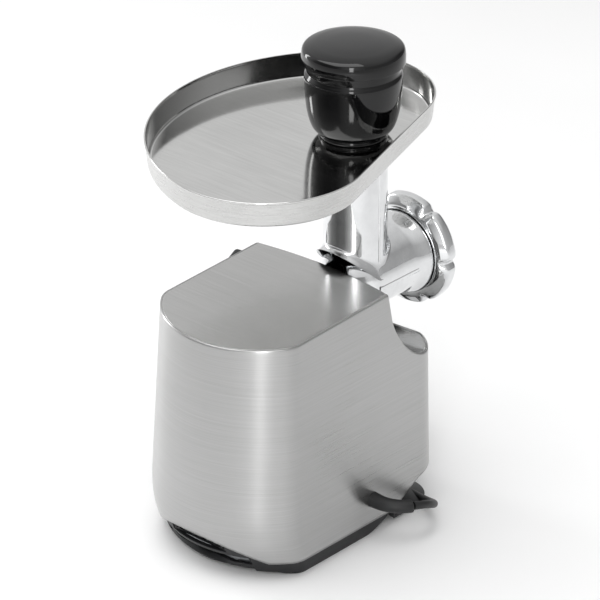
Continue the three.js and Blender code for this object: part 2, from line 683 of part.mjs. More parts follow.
function tray() {
  const group = new THREE.Group();
  group.position.set(0, feedTubeY, 0);
  group.rotation.z = trayTurn;
  root.add(group);
  const rim = trayFloor + trayWallHeight;
  const skin = 1;
  const outer = loft([
    trayOutline(4.5, trayFloor - skin),
    trayOutline(2.4, trayFloor + 1.2),
    trayOutline(0.3, rim - 1.5),
    trayOutline(0, rim),
  ]);
  const inner = loft([
    trayOutline(5, trayFloor),
    trayOutline(3.4, trayFloor + 1.6),
    trayOutline(1.5, rim - 1.5),
    trayOutline(1.2, rim + 2),
  ]);
  const collar = solidOf(ring(23, 24, trayFloor - 13, trayFloor - skin / 2, 36));
  const hole = solidOf(rod(23, trayFloor - 20, trayFloor + 10, 36));
  add("tray", cut(join(cut(solidOf(outer), solidOf(inner)), collar), hole), brushedSteel(), group);
}

// ---- Pusher ----
const pusherPlace = [1.6, feedTubeY + 1.4]; // it stands loosely in the tube

function pusher() {
  const floor = trayFloor + gap;
  const cup = [
    [0, 244],
    [19.4, 244],
    [20.2, 247],
    [20.4, floor],
    [27.6, floor],
    [28.4, floor + 2.6],
    [27.6, floor + 4],
    [32, floor + 5.5],
    [36.3, floor + 14],
    [39.3, floor + 30],
    [40.4, floor + 44],
    [40.6, floor + 54],
    [38.9, floor + 58],
    [38.6, floor + 72],
    [36.4, floor + 72],
    [36.4, floor + 58],
    [37.8, floor + 52],
    [37, floor + 32],
    [33.6, floor + 16],
    [19, floor + 6],
    [18.8, 248],
    [0, 248],
  ];
  add("pusher_cup", turned(cup, 32).translate(...pusherPlace, 0), glossBlack());

  const skirt = floor + 65.6;
  const cap = [
    [0, skirt + 18],
    [22, skirt + 17.3],
    [36, skirt + 15.2],
    [42, skirt + 12],
    [43.1, skirt + 8.5],
    [43.1, skirt],
    [40.2, skirt],
    [40.2, skirt + 7.2],
    [35.9, skirt + 7.2],
    [35.9, skirt + 2],
    [33.8, skirt + 2],
    [33.8, skirt + 9],
    [0, skirt + 10.4],
  ];
  add("pusher_cap", turned(cap, 32).translate(...pusherPlace, 0), glossBlack());
}

// ---- Lead ----
const leadPoints = [
  [-109, 7.2, 34.2],
  [-110.6, 0, 32.6],
  [-110.6, -7.8, 30],
  [-109, -15.2, 26.4],
  [-105.8, -22.2, 22.3],
  [-101.2, -28.6, 18],
  [-94.6, -34.2, 13.9],
  [-87.8, -39.2, 10],
  [-79.8, -43.2, 6.9],
  [-70.8, -46.3, 4.8],
  [-61.2, -48.6, leadFloor + 0.2],
  [-51, -50.2, leadFloor],
  [-38, -52, leadFloor],
  [-25, -54.8, leadFloor],
  [-13, -59.4, leadFloor],
  [-2, -66.2, leadFloor],
  [6.4, -75.4, leadFloor],
  [11.6, -86.5, leadFloor],
];
const tailPoints = [
  [plugX, -75.7, 12],
  [plugX, -67, 13.2],
  [plugX, -58.5, 15.2],
  [plugX, -50.8, 16.3],
];

function tubeAlong(points, radius, steps) {
  const path = new THREE.CatmullRomCurve3(points.map((p) => new THREE.Vector3(...p)));
  const section = new THREE.Shape();
  section.absarc(0, 0, radius, 0, 2 * Math.PI);
  return new THREE.ExtrudeGeometry(section, { steps, curveSegments: 4, extrudePath: path });
}

// The strain relief leaves the housing along -X and turns forwards, sagging a little.
const reliefLength = 36;
const reliefStraight = 6;
const reliefBend = 26;
const reliefSag = 1.5;

function bendRelief(point) {
  const run = Math.max(0, point.x - reliefStraight);
  const angle = run / reliefBend;
  const side = point.y;
  const wall = bodyHalfWidth + (bodySideDraft * (bodyHeight - leadExit.z)) / bodyHeight;
  const out = Math.min(point.x, reliefStraight) + (reliefBend + side) * Math.sin(angle);
  const forward = reliefBend - (reliefBend + side) * Math.cos(angle);
  point.z += leadExit.z - reliefSag * (Math.max(0, point.x) / reliefLength) ** 2;
  point.x = -wall - out;
  point.y = leadExit.y - forward;
}

function lead() {
  const profile = [
    [0, -9.4],
    [9, -9.4],
    [9, -5.6],
    [6.8, -5.6],
    [6.6, 3],
    [6.4, 6],
    [6.2, 10],
    [6, 14],
    [5.9, 18],
    [5.8, 22],
    [5.6, 26],
    [5.4, 30],
    [5.2, 33],
    [4.9, reliefLength],
    [0, reliefLength],
  ];
  const straight = ontoX(turned(profile, 16), 0, 0);
  add("strain_relief", moveVertices(straight, bendRelief), rubber());

  add("lead_run", tubeAlong(leadPoints, leadRadius, 26), rubber());
  const coil = ring(coilInner, coilOuter, leadFloor - leadRadius, coilHeight, 32);
  add("lead_coil", coil.translate(...coilCentre, 0), rubber());
  add("lead_tail", tubeAlong(tailPoints, leadRadius, 4), rubber());

  const plug = [[0, 0], [6, 0], [7, 14], [13, 19], [16, 23], [16, 38], [0, 38]];
  add("plug_body", ontoY(turned(plug, 20), 16.3, plugX).translate(0, -50, 0), rubber());
  for (const side of [-1, 1]) {
    const pin = ontoY(rod(2.4, 38.3, 57.3, 12), 16.3, plugX + side * 9.5).translate(0, -50, 0);
    add(side < 0 ? "plug_pin_left" : "plug_pin_right", pin, brass());
  }
}

housing();
base();
frame();
gearTrain();
gearbox();
motor();
controls();
headCasting();
auger();
knifeAndPlate();
ringNut();
tray();
pusher();
lead();

// The frame's origin is under the middle of the object's box, measured without the lead.
const leadNames = ["strain_relief", "lead_run", "lead_coil", "lead_tail", "plug_body", "plug_pin_left", "plug_pin_right"];
const box = new THREE.Box3();
root.updateMatrixWorld(true);
root.traverse((object) => {
  if (object.isMesh && !leadNames.includes(object.name)) box.expandByObject(object, true);
});
const middle = box.getCenter(new THREE.Vector3());
root.position.set(-middle.x, -middle.y, 0);
root.updateMatrixWorld(true);

export default root;
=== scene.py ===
import math

import bmesh
import bpy
import numpy as np
from mathutils import Matrix, Vector


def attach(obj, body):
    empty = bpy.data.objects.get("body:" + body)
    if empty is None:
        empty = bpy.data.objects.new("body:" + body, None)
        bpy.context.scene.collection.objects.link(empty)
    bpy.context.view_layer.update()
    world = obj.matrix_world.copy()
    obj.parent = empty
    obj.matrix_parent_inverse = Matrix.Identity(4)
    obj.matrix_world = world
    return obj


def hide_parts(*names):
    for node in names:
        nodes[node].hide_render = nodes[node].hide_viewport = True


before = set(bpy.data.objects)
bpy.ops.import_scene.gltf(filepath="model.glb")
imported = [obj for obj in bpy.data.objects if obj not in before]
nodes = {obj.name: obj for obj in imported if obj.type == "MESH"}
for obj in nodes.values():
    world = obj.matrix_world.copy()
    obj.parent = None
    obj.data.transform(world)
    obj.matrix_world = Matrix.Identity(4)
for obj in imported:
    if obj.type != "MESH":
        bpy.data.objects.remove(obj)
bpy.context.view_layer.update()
print("frame loaded")

# Shapes are worked out in millimetres on the machine's own axes: x = 0 is its middle plane, y = 0 the front
# edge of the top panel and z = 0 the worktop. This moves them onto the frame's origin, in metres.
machineOrigin = np.array([-25.5725, -12.1128, 0.0])


def placed(points):
    return (np.asarray(points, float) + machineOrigin) * 0.001


# ---- Colour and node helpers ----


def linearColor(hexCode, alpha=1.0):
    # sRGB hex to linear light
    values = [int(hexCode[i:i + 2], 16) / 255 for i in (0, 2, 4)]
    return [v / 12.92 if v <= 0.04045 else ((v + 0.055) / 1.055) ** 2.4 for v in values] + [alpha]


def addNode(tree, kind, settings=None, **links):
    # settings are the node's own properties or, by socket name or number, its unlinked inputs
    node = tree.nodes.new(kind)
    for key, value in (settings or {}).items():
        if isinstance(key, int) or key in node.inputs:
            node.inputs[key].default_value = value
        else:
            setattr(node, key, value)
    for key, source in links.items():
        numbered = key[0] == "i" and key[1:].isdigit()
        socket = node.inputs[int(key[1:]) if numbered else key.replace("_", " ")]
        tree.links.new(source, socket)
    return node


def rampStops(node, stops):
    # stops are (place, hex colour)
    elements = node.color_ramp.elements
    while len(elements) > 1:
        elements.remove(elements[-1])
    elements[0].position, elements[0].color = stops[0][0], linearColor(stops[0][1])
    for place, color in stops[1:]:
        elements.new(place).color = linearColor(color)
    return node


def startMaterial(name):
    material = bpy.data.materials.new(name)
    material.use_nodes = True
    tree = material.node_tree
    return material, tree, tree.nodes["Principled BSDF"]


def grainedMaterial(name, spec):
    # A colour and a roughness that wander over the surface, and a fine bump. spec["grain"] holds the
    # pattern's
    # repeats per metre along X, Y and Z, so a stretched grain is a brushed one.
    material, tree, shader = startMaterial(name)
    links = tree.links
    coords = addNode(tree, "ShaderNodeTexCoord")
    stretch = addNode(tree, "ShaderNodeMapping", {"Scale": spec["grain"]},
                      Vector=coords.outputs[spec.get("coords", "Object")])
    grain = addNode(tree, "ShaderNodeTexNoise", {"Scale": 1.0, "Detail": spec.get("detail", 3.0),
                                                 "Roughness": 0.6},
                    Vector=stretch.outputs[0])
    cloud = addNode(tree, "ShaderNodeTexNoise", {"Scale": spec.get("cloud", 18.0), "Detail": 2.0},
                    Vector=coords.outputs["Object"])
    tone = addNode(tree, "ShaderNodeMix", {"data_type": "FLOAT", 0: spec.get("cloudShare", 0.35)},
                   i2=grain.outputs[0], i3=cloud.outputs[0])
    color = rampStops(addNode(tree, "ShaderNodeValToRGB", Fac=tone.outputs[0]),
                      [(0.3, spec["dark"]), (0.7, spec["light"])])
    links.new(color.outputs[0], shader.inputs["Base Color"])
    low, high = spec["roughness"]
    rough = addNode(tree, "ShaderNodeMapRange", {"From Min": 0.3, "From Max": 0.7, "To Min": low,
                                                 "To Max": high},
                    Value=tone.outputs[0])
    links.new(rough.outputs[0], shader.inputs["Roughness"])
    bump = addNode(tree, "ShaderNodeBump", {"Strength": spec.get("bump", 0.1),
                                            "Distance": spec.get("depth", 0.0002)},
                   Height=grain.outputs[0])
    links.new(bump.outputs[0], shader.inputs["Normal"])
    shader.inputs["Metallic"].default_value = spec.get("metallic", 0.0)
    if "anisotropic" in spec:
        shader.inputs["Anisotropic"].default_value = spec["anisotropic"]
        shader.inputs["Anisotropic Rotation"].default_value = 0.25
        tangent = addNode(tree, "ShaderNodeTangent", {"direction_type": "UV_MAP", "uv_map": "UVMap"})
        links.new(tangent.outputs[0], shader.inputs["Tangent"])
    if "ior" in spec:
        shader.inputs["IOR"].default_value = spec["ior"]
    if "coat" in spec:
        shader.inputs["Coat Weight"].default_value = spec["coat"]
        shader.inputs["Coat Roughness"].default_value = 0.04
    return material


# ---- Materials ----
# Stainless sheet, brushed round the housing: level hairlines that spread each highlight upwards and
# downwards.
brushedSides = grainedMaterial("brushedStainlessSides", {
    "grain": (12, 12, 1500), "detail": 4.0, "dark": "a7a7a6", "light": "bababa", "roughness": (0.26, 0.34),
    "metallic": 1.0, "anisotropic": 0.8, "bump": 0.06, "depth": 0.0001, "cloud": 9.0, "cloudShare": 0.4})
# The same sheet on top, brushed across the machine.
brushedTop = grainedMaterial("brushedStainlessTop", {
    "grain": (12, 1500, 1500), "detail": 4.0, "dark": "b4b4b3", "light": "c6c6c5", "roughness": (0.16, 0.24),
    "metallic": 1.0, "anisotropic": 0.5, "bump": 0.05, "depth": 0.0001, "cloud": 9.0, "cloudShare": 0.4})
# Pressed stainless, buffed: the floor is nearly a mirror with faint haze.
buffedSteel = grainedMaterial("buffedStainlessInside", {
    "grain": (20, 700, 700), "detail": 4.0, "dark": "c6c6c5", "light": "d8d8d7", "roughness": (0.07, 0.13),
    "metallic": 1.0, "bump": 0.03, "depth": 0.0001, "cloud": 14.0})
# The outside of the same pressing is left satin.
satinSteel = grainedMaterial("satinStainlessOutside", {
    "grain": (60, 60, 700), "detail": 4.0, "dark": "bcbcbb", "light": "d0d0cf", "roughness": (0.24, 0.33),
    "metallic": 1.0, "bump": 0.08, "depth": 0.0001, "cloud": 14.0})
# Die-cast aluminium, polished by hand: a soft mirror with low waves.
polishedAluminium = grainedMaterial("polishedCastAluminium", {
    "grain": (90, 90, 90), "dark": "d6d7d8", "light": "e6e7e8", "roughness": (0.05, 0.12),
    "metallic": 1.0, "bump": 0.06, "depth": 0.0005, "cloud": 40.0})
castAluminium = grainedMaterial("tumbledCastAluminium", {
    "grain": (900, 900, 900), "dark": "8f9091", "light": "b4b5b6", "roughness": (0.42, 0.58),
    "metallic": 1.0, "bump": 0.35, "depth": 0.0003, "cloud": 60.0})
machinedSteel = grainedMaterial("machinedSteel", {
    "grain": (200, 1600, 200), "dark": "8f9193", "light": "b5b6b8", "roughness": (0.2, 0.34),
    "metallic": 1.0, "bump": 0.12, "depth": 0.0001, "cloud": 60.0})
galvanisedSteel = grainedMaterial("galvanisedSheet", {
    "grain": (160, 160, 160), "dark": "84878a", "light": "a9acae", "roughness": (0.34, 0.5),
    "metallic": 1.0, "bump": 0.05, "cloud": 30.0})
# ABS moulding with a fine spark-eroded grain: it keeps its highlights broad and dull.
grainedBlack = grainedMaterial("grainedBlackMoulding", {
    "grain": (1400, 1400, 1400), "dark": "101113", "light": "1d1e20", "roughness": (0.38, 0.5),
    "bump": 0.25, "depth": 0.0002, "ior": 1.5, "cloud": 50.0})
# The pusher is a polished moulding: deep black with sharp reflections and slight waviness.
glossBlack = grainedMaterial("polishedBlackMoulding", {
    "grain": (60, 60, 60), "dark": "050506", "light": "0a0a0b", "roughness": (0.04, 0.09),
    "bump": 0.02, "depth": 0.0004, "ior": 1.47, "cloud": 30.0})
leadSheath = grainedMaterial("softPvcSheath", {
    "grain": (900, 900, 900), "dark": "0d0d0e", "light": "191a1b", "roughness": (0.42, 0.56),
    "bump": 0.15, "depth": 0.0002, "ior": 1.5, "cloud": 40.0})
footRubber = grainedMaterial("mouldedFootRubber", {
    "grain": (1100, 1100, 1100), "dark": "101011", "light": "202021", "roughness": (0.6, 0.78),
    "bump": 0.3, "depth": 0.0002, "ior": 1.5, "cloud": 40.0})
naturalNylon = grainedMaterial("naturalNylon", {
    "grain": (500, 500, 500), "dark": "dcd7c8", "light": "ebe7da", "roughness": (0.4, 0.52),
    "bump": 0.08, "depth": 0.0002, "ior": 1.53, "cloud": 50.0})
windingCopper = grainedMaterial("enamelledWinding", {
    "grain": (60, 2200, 60), "dark": "7c3d1c", "light": "bf7444", "roughness": (0.25, 0.42),
    "metallic": 1.0, "bump": 0.4, "depth": 0.0003, "cloud": 50.0})
pressedCarbon = grainedMaterial("pressedCarbon", {
    "grain": (1500, 1500, 1500), "dark": "1b1b1d", "light": "303033", "roughness": (0.5, 0.65),
    "bump": 0.2, "depth": 0.0002, "ior": 1.5, "cloud": 60.0})
turnedBrass = grainedMaterial("turnedBrass", {
    "grain": (300, 1800, 300), "dark": "b08b3c", "light": "d2ae62", "roughness": (0.2, 0.32),
    "metallic": 1.0, "bump": 0.08, "depth": 0.0001, "cloud": 60.0})
nickelPin = grainedMaterial("nickelPlatedPin", {
    "grain": (200, 1400, 200), "dark": "a9a79f", "light": "c4c1b8", "roughness": (0.18, 0.28),
    "metallic": 1.0, "bump": 0.05, "depth": 0.0001, "cloud": 60.0})
print("materials made")


# ---- Mesh helpers ----


def gridFaces(rows, columns):
    # four-cornered faces of a grid of points, row by row
    corner = (np.arange(rows - 1)[:, None] * columns + np.arange(columns - 1)).ravel()
    return np.stack([corner, corner + 1, corner + columns + 1, corner + columns], 1)


def meshPiece(name, patches, material, body, replaced=(), smoothAngle=40.0):
    # patches are (points, uv, material number) grids, with points in machine millimetres. Edges that meet
    # are welded.
    materials = material if isinstance(material, (list, tuple)) else [material]
    vertices, faces, uvs, numbers, start = [], [], [], [], 0
    for patch in patches:
        points, uv, number = (list(patch) + [None, 0])[:3] if len(patch) < 3 else patch
        rows, columns = points.shape[:2]
        quads = gridFaces(rows, columns)
        vertices.append(placed(points.reshape(-1, 3)))
        faces.append(quads + start)
        if uv is None:
            uv = np.stack(np.meshgrid(np.arange(rows), np.arange(columns), indexing="ij"), -1) * 0.01
        uvs.append(uv.reshape(-1, 2)[quads].reshape(-1, 2))
        numbers.append(np.full(len(quads), number))
        start += rows * columns
    mesh = bpy.data.meshes.new(name)
    mesh.from_pydata(np.concatenate(vertices).tolist(), [], np.concatenate(faces).tolist())
    mesh.uv_layers.new(name="UVMap").data.foreach_set("uv", np.concatenate(uvs).astype(np.float32).ravel())
    mesh.polygons.foreach_set("material_index", np.concatenate(numbers).astype(np.int32))
    for item in materials:
        mesh.materials.append(item)
    shape = bmesh.new()
    shape.from_mesh(mesh)
    bmesh.ops.remove_doubles(shape, verts=shape.verts, dist=2e-6)
    bmesh.ops.dissolve_degenerate(shape, edges=shape.edges, dist=1e-7)
    bmesh.ops.recalc_face_normals(shape, faces=shape.faces)
    shape.to_mesh(mesh)
    shape.free()
    mesh.shade_smooth()
    mesh.set_sharp_from_angle(angle=math.radians(smoothAngle))
    piece = bpy.data.objects.new(name, mesh)
    bpy.context.collection.objects.link(piece)
    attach(piece, body)
    if replaced:
        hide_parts(*replaced)
    return piece


def thicken(piece, thickness, edgeWidth):
    # a wall grown inwards from the outer face, with its cut edges rounded
    wall = piece.modifiers.new("wall", "SOLIDIFY")
    wall.thickness = thickness * 0.001
    wall.offset = -1.0
    wall.use_even_offset = False
    if edgeWidth:
        edge = piece.modifiers.new("edge", "BEVEL")
        edge.width = edgeWidth * 0.001
        edge.segments = 2
        edge.limit_method = "ANGLE"
        edge.angle_limit = math.radians(50)
    return piece


def roundedProfile(points, radius, steps=4):
    # a line of (r, z) corners, each rounded with a quadratic curve; radius may be one number or one for
    # each corner
    points = np.asarray(points, float)
    radii = np.broadcast_to(np.asarray(radius, float), len(points))
    out = [points[0]]
    for before, corner, after, r in zip(points[:-2], points[1:-1], points[2:], radii[1:-1]):
        back, ahead = before - corner, after - corner
        lengthBack, lengthAhead = np.hypot(*back), np.hypot(*ahead)
        reach = min(r, 0.48 * lengthBack, 0.48 * lengthAhead)
        if reach < 1e-3:
            out.append(corner)
            continue
        t = np.linspace(0, 1, steps + 1)[:, None]
        a = corner + back / lengthBack * reach
        b = corner + ahead / lengthAhead * reach
        out.extend((1 - t) ** 2 * a + 2 * t * (1 - t) * corner + t ** 2 * b)
    out.append(points[-1])
    return np.array(out)


def turnedGrid(profile, segments=96, centre=(0, 0), axis="z", height=0.0):
    # a profile of (radius, place along the axis) turned about an axis through centre or, for y, through x =
    # 0 at height
    angle = np.linspace(0, 2 * math.pi, segments + 1)
    angle[-1] = 0.0
    radius, along = profile[:, 0][:, None], np.repeat(profile[:, 1][:, None], segments + 1, 1)
    a, b = radius * np.cos(angle), radius * np.sin(angle)
    if axis == "z":
        return np.stack([a + centre[0], b + centre[1], along], -1)
    if axis == "y":
        return np.stack([a + centre[0], along, b + height], -1)
    return np.stack([along, a + centre[1], b + height], -1)


# ---- Housing ----
housing = {
    "height": 216.8, "halfWidth": 73.5, "sideLean": 6.5, "rear": 155.8, "rearLean": 15.0,
    "rearTuck": 300.0, "tuckStart": 0.72,
    "rearRadius": 85.8, "cornerRadius": 22.0, "noseFront": 67.0, "noseRadius": 29.0,
    "fall": 0.039, "bulge": 7.0, "sag": 4.0, "scoopFloor": 145.5, "noseLip": 152.5,
    "edgeRadius": 1.7, "sheet": 1.0, "skirt": 15.0, "archTop": 36.0, "archHalfWidth": 62.0,
}


def planCurve(inset, count=2400):
    # The plan at the top, counter-clockwise from the middle of the nose: lines joined by arcs, as points and the
    # distance run so far.
    h = housing
    rearY = h["rear"] - h["rearRadius"]
    cornerX = h["halfWidth"] - h["cornerRadius"]
    cornerY = rearY + math.sqrt((h["rearRadius"] - h["cornerRadius"]) ** 2 - cornerX ** 2)
    turn = math.atan2(cornerY - rearY, cornerX)
    noseX = h["halfWidth"] - h["noseRadius"]
    noseY = h["noseRadius"] - h["noseFront"]
    arcs = [(noseX, noseY, h["noseRadius"], -math.pi / 2, 0.0),
            (cornerX, cornerY, h["cornerRadius"], 0.0, turn),
            (0.0, rearY, h["rearRadius"], turn, math.pi - turn),
            (-cornerX, cornerY, h["cornerRadius"], math.pi - turn, math.pi),
            (-noseX, noseY, h["noseRadius"], math.pi, 1.5 * math.pi)]
    parts = [[[0.0, -h["noseFront"] + inset]]]
    for x, y, radius, first, last in arcs:
        angle = np.linspace(first, last, 240)
        parts.append(np.stack([x + (radius - inset) * np.cos(angle), y + (radius - inset) * np.sin(angle)],
                              1))
    parts.append([[0.0, -h["noseFront"] + inset]])
    line = np.concatenate(parts)
    run = np.concatenate([[0], np.cumsum(np.hypot(*np.diff(line, axis=0).T))])
    even = np.linspace(0, run[-1], count)
    return np.stack([np.interp(even, run, line[:, 0]), np.interp(even, run, line[:, 1])], 1), even


plan, planRun = planCurve(0.0)
planLength = planRun[-1]
planTangent = np.gradient(plan, planRun, axis=0)
planTangent[0] = planTangent[-1] = [1.0, 0.0]
planTangent /= np.hypot(planTangent[:, 0], planTangent[:, 1])[:, None]


def skinPoint(run, z, inset=0.0):
    # a point of the housing's side at a distance run round the plan and a height, drawn in by inset
    run = np.mod(run, planLength)
    x, y = (np.interp(run, planRun, plan[:, i]) for i in (0, 1))
    tx, ty = (np.interp(run, planRun, planTangent[:, i]) for i in (0, 1))
    x, y = x - ty * inset, y + tx * inset
    share = (housing["height"] - z) / housing["height"]
    x = x * (1 + housing["sideLean"] / housing["halfWidth"] * share)
    tuck = housing["rearTuck"] * np.clip(share - housing["tuckStart"], 0, None) ** 2
    y = np.where(y > 0, y * (1 + (housing["rearLean"] * share - tuck) / housing["rear"]), y)
    return np.stack([x, y, np.broadcast_to(z, x.shape)], -1)


def bezier(a, b, c, d, count):
    t = np.linspace(0, 1, count)[:, None]
    a, b, c, d = (np.asarray(p, float) for p in (a, b, c, d))
    return (1 - t) ** 3 * a + 3 * t * (1 - t) ** 2 * b + 3 * t ** 2 * (1 - t) * c + t ** 3 * d


def coverLine():
    # the (y, z) line over the body: top panel, its front edge, the wall behind the barrel, the scoop and
    # the lip
    h = housing
    floor, lip, edge = h["scoopFloor"], h["noseLip"], 2.0
    rear = h["rear"] + 1.0
    spread = np.linspace(0, 1, 90)
    top = rear - (rear - edge) * (1 - (1 - spread) ** 2)
    t = np.linspace(0, 1, 7)[1:-1][:, None]
    corner, before, after = np.array([0, h["height"]]), np.array([edge,
            h["height"] - 0.08]), np.array([-0.36, h["height"] - edge])
    rounding = (1 - t) ** 2 * before + 2 * t * (1 - t) * corner + t ** 2 * after
    wall = np.linspace(after, [-4, 195], 10)
    scoop = bezier([-4, 195], [-6, 178], [-26, floor], [-50, floor], 44)[1:]
    rise = bezier([-50, floor], [-57, floor], [-63, lip - 4], [-68, lip], 20)[1:]
    return np.concatenate([np.stack([top, h["height"] - h["fall"] * top], 1), rounding, wall, scoop, rise])


def bowed(points):
    # the front edge bows forwards and the scoop sags, more the nearer to the middle
    x, y, z = np.moveaxis(points, -1, 0)
    middle = np.clip(1 - (x / housing["halfWidth"]) ** 2, 0, None)
    upper = smoothStep(z, housing["scoopFloor"] + 5, 195)
    nearFront = 1 - smoothStep(y, 10, 60)
    return np.stack([x, y - housing["bulge"] * middle * upper * nearFront,
                     z - housing["sag"] * middle * (1 - upper)], -1)


def smoothStep(value, low, high):
    t = np.clip((value - low) / (high - low), 0, 1)
    return t * t * (3 - 2 * t)


def lowerEdge(run, level, sweepStart, nose):
    # height of a lower edge: level along the sides, sweeping up under the nose
    y = skinPoint(run, np.full_like(run, 20.0))[..., 1]
    sweep = bezier([sweepStart, level], [sweepStart - 22, level], [-20, nose - 3], [-62, nose], 60)[::-1]
    return np.interp(y, sweep[:, 0], sweep[:, 1])


def housingEdge(count=420):
    # The line where side and cover meet, for x > 0 from the middle of the nose to the middle of the rear: its
    # distance round the plan, its height, and the cover's outward normal there.
    line = coverLine()
    slope = np.gradient(line, axis=0)
    slope /= np.hypot(slope[:, 0], slope[:, 1])[:, None]
    order = np.argsort(-line[:, 0])
    half = planLength / 2
    runs = planRun[planRun <= half]
    ys = np.interp(runs, planRun, plan[:, 1])
    # distance round the plan as a function of y: the nose corner, then the side, then the rear
    inside = line[(line[:, 0] > -housing["noseFront"] + 0.02)]
    normal = np.stack([slope[:, 1], -slope[:, 0]], 1)[(line[:, 0] > -housing["noseFront"] + 0.02)]
    run = np.interp(inside[:, 0], ys[np.argsort(ys)], runs[np.argsort(ys)])
    frontRun = np.linspace(0, run[-1], 40)[:-1]
    run = np.concatenate([run[::-1][:0], frontRun, run[::-1]])
    height = np.concatenate([np.full(39, inside[-1, 1]), inside[::-1, 1]])
    normalY = np.concatenate([np.full(39, normal[-1, 0]), normal[::-1, 0]])
    normalZ = np.concatenate([np.full(39, normal[-1, 1]), normal[::-1, 1]])
    x = skinPoint(run, height)[:, 0]
    middle = np.clip(1 - (x / housing["halfWidth"]) ** 2, 0, None)
    height = height - housing["sag"] * middle * (1 - smoothStep(height, housing["scoopFloor"] + 5, 195))
    travelled = np.concatenate([[0], np.cumsum(np.hypot(np.diff(run), np.diff(height)))])
    even = np.linspace(0, travelled[-1], count)
    pick = lambda values: np.interp(even, travelled, values)
    return pick(run), pick(height), pick(normalY), pick(normalZ)


def housingSides():
    h = housing
    run, top, normalY, normalZ = housingEdge()
    run = np.concatenate([run, planLength - run[::-1][1:]])
    top = np.concatenate([top, top[::-1][1:]])
    coverNormal = np.stack([np.zeros_like(run), np.concatenate([normalY, normalY[::-1][1:]]),
                            np.concatenate([normalZ, normalZ[::-1][1:]])], 1)
    edge = skinPoint(run, top)
    tangent = np.stack([np.interp(run, planRun, planTangent[:, 0]),
                        np.interp(run, planRun, planTangent[:, 1]),
                        np.zeros_like(run)], 1)
    sideNormal = np.stack([tangent[:, 1], -tangent[:, 0], np.zeros_like(run)], 1)
    facing = (coverNormal * sideNormal).sum(1)[:, None]
    down = -(coverNormal - facing * sideNormal)
    down /= np.linalg.norm(down, axis=1)[:, None]
    inward = -(sideNormal - facing * coverNormal)
    inward /= np.linalg.norm(inward, axis=1)[:, None]
    r = h["edgeRadius"]
    lastRun = run + r * (down * tangent).sum(1)
    lastTop = top + r * down[:, 2]
    # the skirt's lower edge, with the arch at the rear
    lowRun = np.linspace(0, planLength, len(run))
    low = lowerEdge(lowRun, h["skirt"], 6.0, 38.0)
    foot = skinPoint(lowRun, low)
    arch = (h["archTop"] - h["skirt"]) * (1 - (foot[:, 0] / h["archHalfWidth"]) ** 2)
    low = np.where(foot[:, 1] > 100, low + np.clip(arch, 0, None), low)
    share = np.linspace(0, 1, 44)[:, None]
    share = 0.5 * share + 0.5 * share * share * (3 - 2 * share)
    runs = lowRun + share * (lastRun - lowRun)
    heights = low + share * (lastTop - low)
    wall = skinPoint(runs, heights)
    a, c = wall[-1], edge + r * inward
    t = np.linspace(0, 1, 7)[1:, None, None]
    roll = (1 - t) ** 2 * a + 2 * t * (1 - t) * edge + t ** 2 * c
    points = np.concatenate([wall, roll])
    uv = np.stack([np.concatenate([runs, np.repeat(run[None], 6, 0)]), points[..., 2]], -1) * 0.01
    piece = meshPiece("sideSkin", [(points, uv, 0)], brushedSides, "housing", ["side_skin"], 60)
    return thicken(piece, h["sheet"], 0.0)


def housingCover():
    h = housing
    line = coverLine()
    inset = h["edgeRadius"] + 0.02
    inner, run = planCurve(inset)
    right = inner[: len(inner) // 2]
    order = np.argsort(right[:, 1])
    ys = np.clip(line[:, 0], right[:, 1].min() + 1e-3, right[:, 1].max() - 1e-4)
    ys = ys[line[:, 0] > right[:, 1].min() - 0.8]
    zs = line[line[:, 0] > right[:, 1].min() - 0.8][:, 1]
    halfWidth = np.interp(ys, right[order, 1], right[order, 0])
    across = np.linspace(-1, 1, 81)
    share = (h["height"] - zs) / h["height"]
    x = halfWidth[:, None] * across * (1 + h["sideLean"] / h["halfWidth"] * share)[:, None]
    y = np.where(ys > 0, ys * (1 + h["rearLean"] / h["rear"] * share), ys)
    points = np.stack([x, np.repeat(y[:, None], 81, 1), np.repeat(zs[:, None], 81, 1)], -1)
    points = bowed(points)
    travelled = np.concatenate([[0], np.cumsum(np.hypot(np.diff(ys), np.diff(zs)))])
    uv = np.stack([x, np.repeat(travelled[:, None], 81, 1)], -1) * 0.01
    piece = meshPiece("topCover", [(points, uv, 0)], brushedTop, "housing", ["top_cover"], 60)
    return thicken(piece, h["sheet"], 0.0)


# ---- Base ----
base = {"inset": 3.6, "rimInset": 1.6, "wall": 3.0, "bottom": 3.0, "floorHigh": 8.8,
        "recessTop": 18.0,
        "recessHalfWidth": 47.0, "ventHalfWidth": 30.0, "ventLow": 21.0, "ventHigh": 31.0, "tub": (56.0,
                143.0, -37.0)}


